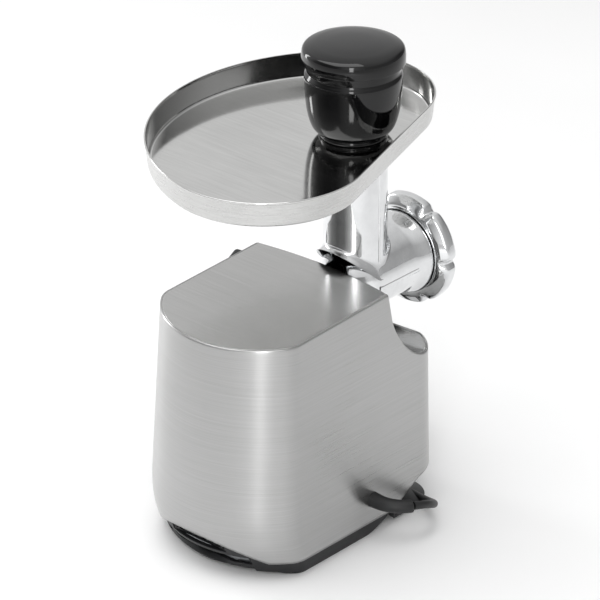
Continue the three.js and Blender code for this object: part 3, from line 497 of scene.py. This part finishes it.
def basePan():
    # The wall stands under the skin with a raised edge between the rear feet and a slot for the cooling
    # air. The
    # floor runs in from the wall to a flat tub.
    b = base
    even = np.linspace(0, planLength, 700)
    xs = skinPoint(even, np.full(700, 20.0), b["inset"])
    order = np.argsort(xs[200:500, 0])
    marks = [np.interp(x, xs[200:500, 0][order], even[200:500][order])
             for half in (b["ventHalfWidth"], b["recessHalfWidth"]) for x in (-half - 0.3, -half, half,
                     half + 0.3)]
    run = np.unique(np.concatenate([np.linspace(0, planLength, 361), marks]))
    at20 = skinPoint(run, np.full(len(run), 20.0), b["inset"])
    atRear = (at20[:, 1] > 100) & (np.abs(at20[:, 0]) < b["recessHalfWidth"] + 0.1)
    low = np.where(atRear, b["recessTop"], lowerEdge(run, b["bottom"], 30.0, 35.0))
    skinLow = lowerEdge(run, housing["skirt"], 6.0, 38.0)
    arch = (housing["archTop"] - housing["skirt"]) * (1 - (at20[:, 0] / housing["archHalfWidth"]) ** 2)
    skinLow = np.where(at20[:, 1] > 100, skinLow + np.clip(arch, 0, None), skinLow)
    levels = [0.0, 8.0, 13.0, b["ventLow"], 26.0, b["ventHigh"], 37.5, 44.0]
    rows = []
    for k, level in enumerate(levels):
        z = np.maximum(level, low + 0.7 * k)
        inset = b["inset"] + (b["rimInset"] - b["inset"]) * smoothStep(z, skinLow + 0.8, skinLow + 2.4)
        rows.append(skinPoint(run, z, inset))
    wall = np.stack(rows)
    # the slot's faces are left out; its columns and rows are exact
    slotEnds = sorted(np.searchsorted(run, mark - 1e-6) for mark in marks[1:3])
    patches = [(wall[:4], None, 0), (wall[5:], None, 0), (wall[3:6, : slotEnds[0] + 1], None, 0),
               (wall[3:6, slotEnds[1] :], None, 0)]
    piece = meshPiece("basePan", patches + [(baseFloor(run, low), None, 0)], grainedBlack, "housing",
                      ["base_pan"], 40)
    return thicken(piece, b["wall"], 0.5)


def baseFloor(run, low):
    # from the wall's lower edge in to the tub's rectangle, then level to the middle
    b = base
    half, rear, front = b["tub"]
    foot = skinPoint(run, np.where(low > 17.9, 5.0, low) + 0.4, b["inset"] + 0.2)
    inside = np.stack([np.clip(foot[:, 0], -half, half), np.clip(foot[:, 1], front, rear),
                       np.full(len(run), b["floorHigh"])], -1)
    share = np.array([0.0, 0.25, 0.6, 1.0])[:, None, None]
    slope = foot + (inside - foot) * share
    middle = np.array([0.0, 0.5 * (rear + front), b["floorHigh"]])
    shrink = np.array([0.66, 0.33, 0.0])[:, None, None]
    return np.concatenate([slope, middle + (inside - middle) * shrink])


basePanPiece = basePan()
sideSkin = housingSides()
topCover = housingCover()
print("housing made")


# ---- Grinding head ----
head = {
    "axis": 195.9, "barrel": 32.3, "bore": 26.0, "rear": -9.6, "neck": 18.0, "neckFront": -18.0,
    "barrelRear": -36.0, "boreRear": -23.0, "mouth": -112.0,
    "thread": 36.8, "tubeY": -41.0, "tube": 27.0, "tubeBore": 24.4, "tubeTop": 323.6, "fillet": 5.0,
}


def headCasting():
    h = head
    axis = h["axis"]
    outside = roundedProfile([(15.0, 18.0), (15.0, h["rear"]), (h["neck"], h["rear"]),
                              (h["neck"], h["neckFront"]),
                              (h["barrel"], h["barrelRear"]), (h["barrel"], -88.0), (h["thread"],
                                      -97.0), (h["thread"], -99.6),
                              (36.2, -100.2), (36.2, h["mouth"]), (31.4, h["mouth"]), (31.4,
                                      -100.6), (h["bore"], -100.6),
                              (h["bore"], h["barrelRear"]), (11.6, h["boreRear"]), (11.6, 18.0), (15.0,
                                      18.0)],
                             [0, 1.0, 1.6, 3.0, 6.0, 5.0, 1.5, 0.4, 0.3, 0.6, 0.4, 0.3, 0.3, 2.0, 2.0, 0.5,
                              0])
    barrel = turnedGrid(outside, 128, axis="y", height=axis)
    # the feed tube stands on the barrel with a fillet all round, and its bore runs down into the barrel
    angle = np.linspace(0, 2 * math.pi, 145)
    angle[-1] = 0.0
    side, ahead = np.cos(angle), np.sin(angle)
    ontoBarrel = lambda radius: axis + np.sqrt(np.clip(h["barrel"] ** 2 - (radius * side) ** 2, 0.0, None))
    foot = ontoBarrel(h["tube"])
    reach = h["fillet"]
    outer = ontoBarrel(np.minimum(h["tube"] + reach, h["barrel"] / np.maximum(np.abs(side), 1e-6) * 0.985))
    outerRadius = np.minimum(h["tube"] + reach, h["barrel"] / np.maximum(np.abs(side), 1e-6) * 0.985)
    t = np.linspace(0, 1, 9)[:, None]
    radii = (1 - t) ** 2 * outerRadius + 2 * t * (1 - t) * h["tube"] + t ** 2 * h["tube"]
    heights = (1 - t) ** 2 * (outer - 0.25) + 2 * t * (1 - t) * foot + t ** 2 * (foot + reach)
    fillet = np.stack([radii * side, radii * ahead + h["tubeY"], heights], -1)
    rise = np.linspace(0, 1, 24)[:, None]
    wallTop = h["tubeTop"] - 1.0
    wall = np.stack([np.broadcast_to(h["tube"] * side, (24, 145)),
                     np.broadcast_to(h["tube"] * ahead + h["tubeY"], (24, 145)),
                     (foot + reach) + rise * (wallTop - foot - reach)], -1)
    lip = roundedProfile([(h["tube"], wallTop), (h["tube"], h["tubeTop"]), (h["tubeBore"], h["tubeTop"]),
                          (h["tubeBore"], 232.0)], 0.8)
    lipGrid = turnedGrid(lip, 144, (0, h["tubeY"]))
    lipGrid[0] = wall[-1]
    patches = [(barrel, None, 0), (fillet, None, 0), (wall, None, 0), (lipGrid, None, 0)]
    patches += [(seamRib(side), None, 0) for side in (-1, 1)] + [(barrelRib(side), None, 0)
            for side in (-1, 1)]
    return meshPiece("headCasting", patches, polishedAluminium, "grinding_head",
                     ["head_casting"], 35)


def ribSection(width, height, steps=9):
    # a low rounded ridge as (across, out) points, sunk a little at both feet
    t = np.linspace(-1, 1, steps)
    return np.stack([t * width / 2, height * (1 - np.abs(t) ** 3) - 0.4], 1)


def seamRib(side):
    # parting-line ridge down the feed tube on one side
    section = ribSection(2.6, 1.4)
    z = np.linspace(head["axis"] + 8, head["tubeTop"] - 0.6, 20)
    x = side * (head["tube"] - 0.3 + section[:, 1])
    return np.stack([np.broadcast_to(x, (20, 9)), np.broadcast_to(head["tubeY"] + section[:, 0], (20, 9)),
                     np.broadcast_to(z[:, None], (20, 9))], -1)


def barrelRib(side):
    # the casting's parting line along the barrel, a wide low band
    section = ribSection(5.2, 1.3)
    h = head
    y = np.linspace(h["barrelRear"] - 1, -90, 20)
    x = side * (head["barrel"] - 0.5 + section[:, 1])
    return np.stack([np.broadcast_to(x, (20, 9)), np.broadcast_to(y[:, None], (20, 9)),
                     np.broadcast_to(head["axis"] - 2.2 + section[:, 0], (20, 9))], -1)


headCastingPiece = headCasting()

nut = {"rear": -100.7, "front": -117.4, "lobes": 6, "lobeRadius": 49.4, "notch": 3.8, "notchShare": 0.075,
       "opening": 28.5, "thread": 37.3}


def ringNut():
    # The outline's radius falls into a notch between lobes; the profile runs from the rear rim over the
    # outside to
    # the mouth and back through the thread.
    n = nut
    angle = np.linspace(0, 2 * math.pi, 505)
    fromNotch = np.abs(np.mod(angle * n["lobes"] / (2 * math.pi) + 0.5, 1) - 0.5)
    outline = n["lobeRadius"] - n["notch"] * np.exp(-(fromNotch / n["notchShare"]) ** 2)
    profile = roundedProfile([(0.0, n["rear"]), (41.2, n["rear"]), (49.4, n["rear"] - 5.5),
                              (49.4, n["front"] + 2.5),
                              (46.0, n["front"]), (n["opening"], n["front"]), (n["opening"],
                                      -114.2), (31.4, -114.2),
                              (31.4, -113.2), (n["thread"], -113.2), (n["thread"], n["rear"]), (38.0,
                                      n["rear"])],
                             [0, 2.6, 2.6, 2.6, 2.2, 1.5, 0.3, 0.3, 0.3, 0.3, 0.6, 0], 5)[1:]
    # the outer face follows the notched outline, the faces inside r = 38 stay round
    lobed = np.clip((profile[:, 0] - 38.0) / (n["lobeRadius"] - 38.0), 0, 1)[:, None]
    radius = profile[:, 0][:, None] - lobed * (n["lobeRadius"] - outline)
    points = np.stack([radius * np.cos(angle), np.repeat(profile[:, 1][:, None], 505, 1),
                       radius * np.sin(angle) + head["axis"]], -1)
    points[:, -1] = points[:, 0]
    points = np.concatenate([points, points[:1]])
    return meshPiece("ringNut", [(points, None, 0)], polishedAluminium, "retaining_ring",
                     ["ring_nut"], 40)


ringNutPiece = ringNut()
print("grinding head made")


# ---- Tray ----
tray = {
    "floor": 325.0, "wall": 21.0, "turn": 18.2, "centre": (-14.0, 43.0), "arc": 168.0, "corner": 83.0,
    "flatSide": -38.5, "sheet": 1.0, "bottomInset": 3.0, "hole": 23.0,
}


def trayOutline(inset, count=361):
    # one flat side, a wide arc opposite and two large corners, evenly spaced along its length, in machine
    # axes
    r = tray
    cornerX = r["flatSide"] + r["corner"]
    cornerY = math.sqrt((r["arc"] - r["corner"]) ** 2 - cornerX ** 2)
    turn = math.atan2(cornerY, cornerX)
    arcs = [(0.0, 0.0, r["arc"], -turn, turn), (cornerX, cornerY, r["corner"], turn, math.pi),
            (cornerX, -cornerY, r["corner"], math.pi, 2 * math.pi - turn)]
    parts = []
    for x, y, radius, first, last in arcs:
        angle = np.linspace(first, last, 200)
        parts.append(np.stack([x + (radius - inset) * np.cos(angle), y + (radius - inset) * np.sin(angle)],
                              1))
    line = np.concatenate(parts + [parts[0][:1]])
    run = np.concatenate([[0], np.cumsum(np.hypot(*np.diff(line, axis=0).T))])
    even = np.linspace(0, run[-1], count)
    u = np.interp(even, run, line[:, 0]) + r["centre"][0]
    v = np.interp(even, run, line[:, 1]) + r["centre"][1]
    a = math.radians(r["turn"])
    return np.stack([u * math.cos(a) - v * math.sin(a), u * math.sin(a) + v * math.cos(a) + head["tubeY"]], 1)


def hopperTray():
    r = tray
    floor, rim, sheet = r["floor"], r["floor"] + r["wall"], r["sheet"]
    # (inset from the rim's outline, height), inside from the floor's edge up, over a rolled rim and down
    # outside
    inside = roundedProfile([(24.0, floor), (r["bottomInset"] + 0.6, floor), (1.6, rim - 1.2), (1.2, rim)],
                            [0, 2.6, 1.0, 0], 6)
    rimRoll = roundedProfile([(1.2, rim), (1.2, rim + 0.5), (-0.2, rim + 0.5), (-0.2, rim - 1.0)], 0.7, 4)
    outside = roundedProfile([(-0.2, rim - 1.0), (0.5, rim - 1.6), (r["bottomInset"] - 0.4, floor - sheet),
                              (24.0, floor - sheet)], [0, 0.6, 3.4, 0], 6)
    grids = []
    for line in (inside, rimRoll, outside):
        grids.append(np.stack([np.concatenate([trayOutline(i), np.full((361, 1), z)], 1) for i, z in line]))
    # floor, top and underside: from the bend in to the round hole over the tube
    angle0 = np.arctan2(grids[0][0][:, 1] - head["tubeY"], grids[0][0][:, 0])
    hole = np.stack([r["hole"] * np.cos(angle0), r["hole"] * np.sin(angle0) + head["tubeY"]], 1)
    share = np.linspace(0, 1, 14)[:, None, None]
    topFloor = np.concatenate([hole * (1 - share) + grids[0][0][:, :2] * share,
                               np.full((14, 361, 1), floor)], -1)
    under = topFloor.copy()
    under[..., 2] = floor - sheet
    under = under[::-1]
    under[0, :, :2] = grids[2][-1][:, :2]
    drop = roundedProfile([(r["hole"], floor), (r["hole"], floor - 13.0), (r["hole"] + 1.0, floor - 13.0),
                           (r["hole"] + 1.0, floor - sheet)], [0, 0.4, 0.4, 0], 2)
    collar = np.stack([np.stack([radius * np.cos(angle0), radius * np.sin(angle0) + head["tubeY"],
                                 np.full(361, z)], 1) for radius, z in drop])
    under[-1, :, :2] = collar[-1][:, :2]
    patches = [(topFloor, None, 0), (grids[0], None, 0), (grids[1], None, 0), (grids[2], None, 1),
               (under, None, 1),
               (collar, None, 1)]
    return meshPiece("hopperTray", patches, [buffedSteel, satinSteel], "hopper", ["tray"], 50)


hopper = hopperTray()
print("tray made")


# ---- Pusher ----
pusher = {"place": (1.6, -39.6), "floor": 325.3}


def pusherCup():
    f = pusher["floor"]
    line = roundedProfile([
        (0.0, 244.0), (19.4, 244.0), (20.4, 250.0), (20.4, f), (28.0, f), (28.6, f + 2.4), (27.8, f + 3.6),
        (31.6, f + 5.6), (34.6, f + 9.4), (37.0, f + 16.0), (38.9, f + 25.0), (40.0, f + 36.0), (40.5,
                f + 46.0),
        (40.7, f + 54.6), (39.2, f + 56.8), (38.7, f + 58.0), (38.7, f + 72.0), (36.4, f + 72.0), (36.4,
                f + 58.0),
        (37.8, f + 52.0), (37.0, f + 32.0), (33.6, f + 16.0), (19.0, f + 6.0), (18.8, 248.0), (0.0, 248.0)],
        [0, 2.0, 3.0, 0.2, 1.0, 1.0, 0.8, 2.0, 3.0, 4.0, 6.0, 6.0, 5.0, 1.6, 0.8, 0.6, 0.8, 0.5, 3.0, 4.0,
         8.0, 4.0, 2.0, 1.0, 0], 5)
    grid = turnedGrid(line, 128, pusher["place"])
    return meshPiece("pusherCup", [(grid, None, 0)], glossBlack, "pusher",
                     ["pusher_cup"], 30)


def pusherLid():
    s = pusher["floor"] + 65.6
    line = roundedProfile([
        (0.0, s + 18.0), (20.0, s + 17.3), (34.0, s + 15.6), (42.0, s + 13.0), (43.1, s + 7.0), (43.1, s),
        (40.2, s), (40.2, s + 7.2), (35.9, s + 7.2), (35.9, s + 2.0), (33.8, s + 2.0), (33.8,
                s + 9.0), (0.0, s + 10.4)],
        [0, 8.0, 6.0, 3.4, 3.0, 0.8, 0.6, 0.4, 0.4, 0.4, 0.4, 0.6, 0], 6)
    grid = turnedGrid(line, 128, pusher["place"])
    return meshPiece("pusherLid", [(grid, None, 0)], glossBlack, "pusher_lid",
                     ["pusher_cap"], 30)


pusherCupPiece = pusherCup()
pusherLidPiece = pusherLid()
print("pusher made")


# ---- Knobs ----
def lockKnob():
    # a six-sided knob with softened corners, one of them up, on a round foot
    x0 = 75.1
    profile = roundedProfile([(0.0, x0), (14.0, x0), (14.0, x0 + 2.6), (17.6, x0 + 3.4), (17.6, x0 + 15.0),
                              (15.0, x0 + 17.5),
                              (0.0, x0 + 17.7)], [0, 0.8, 0.6, 1.0, 2.2, 2.2, 0], 5)
    angle = np.linspace(0, 2 * math.pi, 241)
    fromCorner = np.abs(np.mod(angle - math.pi / 2 + math.pi / 6, math.pi / 3) - math.pi / 6)
    flats = np.minimum(0.867 / np.cos(math.pi / 6 - fromCorner), 0.975)
    sixSided = smoothStep(profile[:, 0], 12.0, 14.5)[:, None] * (profile[:, 1] > x0 + 2.7)[:, None]
    radius = profile[:, 0][:, None] * (1 + (flats - 1) * sixSided)
    grid = np.stack([np.repeat(profile[:, 1][:, None], 241, 1), 8 + radius * np.cos(angle),
                     190 + radius * np.sin(angle)], -1)
    grid[:, -1] = grid[:, 0]
    return meshPiece("lockKnob", [(grid, None, 0)], grainedBlack, "head_lock",
                     ["lock_knob"], 35)


def controlKnob():
    # a dial with a dished rim and a bar across it, turned about X on the right side
    x0, y, z = 77.7, 78.0, 112.0
    profile = roundedProfile([(0.0, x0), (18.6, x0), (19.0, x0 + 2.0), (17.2, x0 + 11.6),
                              (14.0, x0 + 12.0), (0.0, x0 + 11.0)],
                             [0, 0.6, 1.0, 1.6, 2.0, 0], 5)
    dial = turnedGrid(profile, 144, (0, y), axis="x", height=z)
    angle = np.linspace(0, 2 * math.pi, 97)
    angle[-1] = 0.0
    rows = []
    for share, x in ((0.0, x0 + 9.0), (1.0, x0 + 9.0), (1.0, x0 + 15.6), (0.93, x0 + 17.0),
                     (0.8, x0 + 17.9), (0.0, x0 + 18.0)):
        across = 3.6 * share * np.sign(np.cos(angle)) * np.abs(np.cos(angle)) ** 0.4
        reach = (16.2 - 3.6 * (1 - share)) * share ** 0.25
        along = reach * np.sign(np.sin(angle)) * np.abs(np.sin(angle)) ** 0.4
        rows.append(np.stack([np.full(97, x), y + across, z + along * (share > 0)], -1))
    return meshPiece("controlKnob", [(dial, None, 0), (np.stack(rows), None, 0)], grainedBlack,
                     "speed_control", ["control_knob"], 35)


lockKnobPiece = lockKnob()
controlKnobPiece = controlKnob()
print("knobs made")


# ---- Lead ----
lead = {
    "diameter": 7.0, "exit": (-78.9, 24.0, 36.0), "reliefLength": 36.0, "reliefStraight": 6.0,
    "reliefBend": 26.0, "reliefSag": 1.5, "coilCentre": (60.0, -100.0), "coilMean": 39.0,
    "plugX": 103.0, "plugHeight": 16.3,
}


def bendRelief(along, side, up):
    # straight out for a little, then turning forwards on a circle, sagging a little at the tip
    angle = np.maximum(0, along - lead["reliefStraight"]) / lead["reliefBend"]
    out = np.minimum(along, lead["reliefStraight"]) + (lead["reliefBend"] + side) * np.sin(angle)
    forward = lead["reliefBend"] - (lead["reliefBend"] + side) * np.cos(angle)
    x = lead["exit"][0] - out
    y = lead["exit"][1] - forward
    z = lead["exit"][2] + up - lead["reliefSag"] * (np.maximum(0, along) / lead["reliefLength"]) ** 2
    return np.stack([x, y, z], -1)


def strainRelief():
    # a tapered sleeve with a collar against the housing and a slightly swollen end
    length = lead["reliefLength"]
    profile = roundedProfile([(0.0, -9.4), (9.0, -9.4), (9.0, -5.6), (6.8, -5.6), (6.8, 0.0), (6.6, 3.0),
                              (6.2, 12.0), (5.9, 22.0),
                              (5.7, 30.0), (5.6, length - 0.2), (3.6, length), (3.6, length - 3.0), (0.0,
                                      length - 3.0)],
                             [0, 0.8, 0.6, 0.6, 0.5, 2, 4, 4, 4, 1.4, 0.5, 0.3, 0], 5)
    dense = np.concatenate([np.linspace(a, b, 5)[:-1] for a, b in zip(profile[:-1], profile[1:])]
                           + [profile[-1:]])
    angle = np.linspace(0, 2 * math.pi, 49)
    angle[-1] = 0
    radius = dense[:, 0][:, None]
    grid = bendRelief(np.repeat(dense[:, 1][:, None], 49, 1), radius * np.cos(angle), radius * np.sin(angle))
    return meshPiece("strainRelief", [(grid, None, 0)], leadSheath, "housing",
                     ["strain_relief"], 35)


def smoothRoute(points, perStep=8):
    # a Catmull-Rom curve through the points
    p = np.asarray(points, float)
    p = np.concatenate([[2 * p[0] - p[1]], p, [2 * p[-1] - p[-2]]])
    t = np.linspace(0, 1, perStep, endpoint=False)[:, None]
    parts = [0.5 * (2 * b + (c - a) * t + (2 * a - 5 * b + 4 * c - d) * t ** 2 + (3 * b - a - 3 * c + d)
                    * t ** 3)
             for a, b, c, d in zip(p[:-3], p[1:-2], p[2:-1], p[3:])]
    return np.concatenate(parts + [p[-2:-1]])


def tubeGrid(path, radius, sides=16):
    # a round section carried along a path without twisting
    tangent = np.gradient(path, axis=0)
    tangent /= np.linalg.norm(tangent, axis=1)[:, None]
    level = np.cross(tangent, [0, 0, 1.0])
    level /= np.linalg.norm(level, axis=1)[:, None]
    upward = np.cross(level, tangent)
    angle = np.linspace(0, 2 * math.pi, sides + 1)
    angle[-1] = 0
    rings = path[:, None] + radius * (np.cos(angle)[None, :, None] * level[:, None]
                                      + np.sin(angle)[None, :, None] * upward[:, None])
    first = np.repeat(path[:1, None], sides + 1, 1)
    last = np.repeat(path[-1:, None], sides + 1, 1)
    return np.concatenate([first, rings, last])


# The run from the relief to the coil: the points of the lead's route in the CAD model, and one more that meets
# the coil. The tail to the plug starts from the coil's upper level, so it lies a little above the CAD model's.
leadRoute = np.array([
    (-109, 7.2, 34.2), (-110.6, 0, 32.6), (-110.6, -7.8, 30), (-109, -15.2, 26.4), (-105.8, -22.2, 22.3),
    (-101.2, -28.6, 18), (-94.6, -34.2, 13.9), (-87.8, -39.2, 10), (-79.8, -43.2, 6.9), (-70.8, -46.3, 4.8),
    (-61.2, -48.6, 3.7), (-51, -50.2, 3.5), (-38, -52, 3.5), (-25, -54.8, 3.5), (-13, -59.4, 3.5),
    (-2, -66.2, 3.5), (6.4, -75.4, 3.5), (11.6, -86.5, 3.5), (15.3, -99.0, 3.5)])
leadTail = np.array([(103.0, -88.0, 17.2), (103.0, -75.7, 15.6), (103.0, -67.0, 15.2), (103.0, -58.5, 15.6),
                     (103.0, -50.8, 16.3)])


def leadCoil():
    # Turns of 24 points, from the angle where the run meets the coil. Between these marks of angle, radius
    # and
    # height the lead stays or moves smoothly. About four and a half turns lie on three levels.
    inner, outer = lead["coilMean"] - 3.6, lead["coilMean"] + 3.6
    floor, second, third = 3.5, 10.7, 17.9
    marks = [(196.4, outer, floor), (470, outer, floor), (556, inner, floor), (820, inner, floor),
             (876, inner, second), (1100, inner, second), (1180, outer, second), (1430, outer, second),
             (1490, outer, third), (1800, outer, third)]
    points = []
    for (a0, r0, z0), (a1, r1, z1) in zip(marks[:-1], marks[1:]):
        for angle in np.arange(a0, a1, 15.0):
            share = smoothStep(angle, a0, a1)
            radius, height = r0 + (r1 - r0) * share, z0 + (z1 - z0) * share
            turn = math.radians(angle)
            points.append((lead["coilCentre"][0] + radius * math.cos(turn),
                           lead["coilCentre"][1] + radius * math.sin(turn), height))
    return np.array(points)


def mainsLead():
    centreline = smoothRoute(np.concatenate([leadRoute, leadCoil(), leadTail]), 4)
    measured = np.linalg.norm(np.diff(centreline, axis=0), axis=1).sum()
    print("lead is", round(float(measured)), "mm long")
    piece = meshPiece("mainsLead", [(tubeGrid(centreline, lead["diameter"] / 2, 20), None, 0)], leadSheath,
                      "housing",
                      ["lead_run", "lead_coil", "lead_tail"], 60)
    return piece, placed(centreline)


def plugBody():
    # a round two-pin plug: a ribbed neck, a waist to grip and a flat face with a softened edge
    line = roundedProfile([(0.0, -50.0), (5.6, -50.0), (6.2, -46.0), (5.2, -45.0), (6.4, -42.0),
                           (5.5, -41.0), (7.0, -36.0),
                           (12.6, -31.5), (13.0, -27.0), (15.9, -24.0), (15.9, -12.6), (15.2, -12.0), (0.0,
                                   -12.0)],
                          [0, 1.0, 0.6, 0.6, 0.6, 0.6, 3.0, 3.0, 3.0, 2.4, 0.6, 0.4, 0], 5)
    grid = turnedGrid(line, 96, (lead["plugX"], 0), axis="y", height=lead["plugHeight"])
    return meshPiece("mainsPlug", [(grid, None, 0)], leadSheath, "housing", ["plug_body"], 40)


def plugPin(side):
    line = roundedProfile([(0.0, -11.7), (2.4, -11.7), (2.4, 5.9), (1.2, 7.3), (0.0, 7.3)],
                          [0, 0.2, 1.0, 0.6, 0], 5)
    grid = turnedGrid(line, 48, (lead["plugX"] + side * 9.5, 0), axis="y", height=lead["plugHeight"])
    name = "plug_pin_left" if side < 0 else "plug_pin_right"
    return meshPiece("plugPin" + ("Left" if side < 0 else "Right"), [(grid, None, 0)], nickelPin, "housing",
                     [name], 40)


strainReliefPiece = strainRelief()
mainsLeadPiece, mainsLeadPath = mainsLead()
plug = plugBody()
pins = [plugPin(side) for side in (-1, 1)]
print("lead made")


# ---- Carried-over pieces ----
finishes = {
    "rear_grille": grainedBlack, "foot_1": footRubber, "foot_2": footRubber,
    "foot_3": footRubber, "foot_4": footRubber, "foot_screw_1": machinedSteel, "foot_screw_2": machinedSteel,
    "foot_screw_3": machinedSteel, "foot_screw_4": machinedSteel, "chassis": galvanisedSteel,
    "gearbox_housing": castAluminium, "gearbox_cover": castAluminium, "head_socket": castAluminium,
    "output_bearing": turnedBrass, "output_gear": machinedSteel, "second_gear": machinedSteel,
    "second_gear_pin": machinedSteel, "first_gear": naturalNylon, "first_gear_pin": machinedSteel,
    "rotor_shaft": machinedSteel, "stator_pack": galvanisedSteel, "field_coil_right": windingCopper,
    "field_coil_left": windingCopper, "armature": windingCopper, "commutator": windingCopper,
    "carbon_brush_right": pressedCarbon, "carbon_brush_left": pressedCarbon, "cooling_fan": grainedBlack,
    "front_bearing": machinedSteel, "rear_bearing": machinedSteel, "front_bracket": castAluminium,
    "rear_bracket": castAluminium, "lock_spindle": machinedSteel,
    "switch_stem": machinedSteel, "switch_body": grainedBlack, "auger": castAluminium, "auger_bush": naturalNylon,
    "cross_knife": machinedSteel, "cutting_plate": machinedSteel,
}
for name, finish in finishes.items():
    mesh = nodes[name].data
    mesh.materials.clear()
    mesh.materials.append(finish)
print("carried-over pieces finished")

# ---- Stage ----
studio = {"azimuth": 222.1, "elevation": 27.2, "distance": 3326.7, "lens": 240.0, "aim": (0.0, 0.0, 200.0),
          "shiftRight": 18.38, "shiftUp": 11.81}


def makeCamera():
    s = studio
    a, e = math.radians(s["azimuth"]), math.radians(s["elevation"])
    back = np.array([math.sin(a) * math.cos(e), -math.cos(a) * math.cos(e), math.sin(e)])
    right = np.array([math.cos(a), math.sin(a), 0.0])
    up = np.array([-math.sin(e) * math.sin(a), math.sin(e) * math.cos(a), math.cos(e)])
    place = np.array(s["aim"]) + back * s["distance"] - right * s["shiftRight"] - up * s["shiftUp"]
    camera = bpy.data.objects.new("camera", bpy.data.cameras.new("camera"))
    bpy.context.collection.objects.link(camera)
    camera.data.lens = s["lens"]
    camera.data.sensor_width = 36.0
    camera.data.clip_end = 50.0
    turn = Matrix(np.stack([right, up, back], 1).tolist())
    camera.rotation_euler = turn.to_euler()
    camera.location = placed(place)
    bpy.context.scene.camera = camera


def softLight(name, place, target, size, power, color="ffffff"):
    light = bpy.data.lights.new(name, "AREA")
    light.shape = "RECTANGLE"
    light.size, light.size_y = size
    light.energy = power
    light.color = linearColor(color)[:3]
    lamp = bpy.data.objects.new(name, light)
    bpy.context.collection.objects.link(lamp)
    lamp.location = place
    lamp.rotation_euler = (Vector(target) - Vector(place)).to_track_quat("-Z", "Y").to_euler()
    return lamp


def makeStage():
    floorMaterial, tree, shader = startMaterial("paleStudioFloor")
    coords = addNode(tree, "ShaderNodeTexCoord")
    speckle = addNode(tree, "ShaderNodeTexNoise", {"Scale": 3.0}, Vector=coords.outputs["Object"])
    color = rampStops(addNode(tree, "ShaderNodeValToRGB", Fac=speckle.outputs[0]),
                      [(0.3, "f6f6f6"), (0.7, "fafafa")])
    tree.links.new(color.outputs[0], shader.inputs["Base Color"])
    shader.inputs["Roughness"].default_value = 0.9
    mesh = bpy.data.meshes.new("floor")
    mesh.from_pydata([(-15, -15, 0), (15, -15, 0), (15, 15, 0), (-15, 15, 0)], [], [(0, 1, 2, 3)])
    mesh.materials.append(floorMaterial)
    floor = bpy.data.objects.new("floor", mesh)
    bpy.context.collection.objects.link(floor)
    world = bpy.data.worlds.new("studio")
    bpy.context.scene.world = world
    world.use_nodes = True
    tree = world.node_tree
    coords = addNode(tree, "ShaderNodeTexCoord")
    split = addNode(tree, "ShaderNodeSeparateXYZ", Vector=coords.outputs["Generated"])
    # soft panels and darker gaps round the room, under an even bright ceiling
    bearing = addNode(tree, "ShaderNodeMath", {"operation": "ARCTAN2"}, i0=split.outputs[1],
                      i1=split.outputs[0])
    share = addNode(tree, "ShaderNodeMapRange", {"From Min": -math.pi, "From Max": math.pi},
                    Value=bearing.outputs[0])
    panels = rampStops(addNode(tree, "ShaderNodeValToRGB", Fac=share.outputs[0]), [
        (0.0, "bdbdbd"), (0.1, "b4b4b4"), (0.19, "8a8a8a"), (0.26, "6e6e6e"), (0.33, "e2e2e2"), (0.42,
                "ededed"),
        (0.5, "f8f8f8"), (0.56, "ffffff"), (0.61, "a0a0a0"), (0.68, "707070"), (0.76, "8a8a8a"), (0.82,
                "f4f4f4"),
        (0.88, "ffffff"), (0.94, "c8c8c8"), (1.0, "bdbdbd")])
    height = addNode(tree, "ShaderNodeMapRange", {"From Min": 0.5, "From Max": 0.85}, Value=split.outputs[2])
    room = addNode(tree, "ShaderNodeMix", {"data_type": "RGBA", "B": linearColor("ececec")},
                   Factor=height.outputs[0],
                   A=panels.outputs[0])
    background = tree.nodes["Background"]
    tree.links.new(room.outputs["Result"], background.inputs["Color"])
    background.inputs["Strength"].default_value = 1.0


makeCamera()
makeStage()
softLight("overhead", (0.2, 0.3, 1.7), (0, 0, 0.2), (1.4, 1.4), 14)
softLight("panelBesideCamera", (-1.0, 1.25, 0.75), (0, 0, 0.15), (0.25, 1.3), 7)
softLight("panelAtLeft", (1.6, 0.2, 0.6), (0, 0, 0.15), (0.25, 1.2), 7)
bpy.context.scene.view_settings.view_transform = "Standard"
print("stage made")
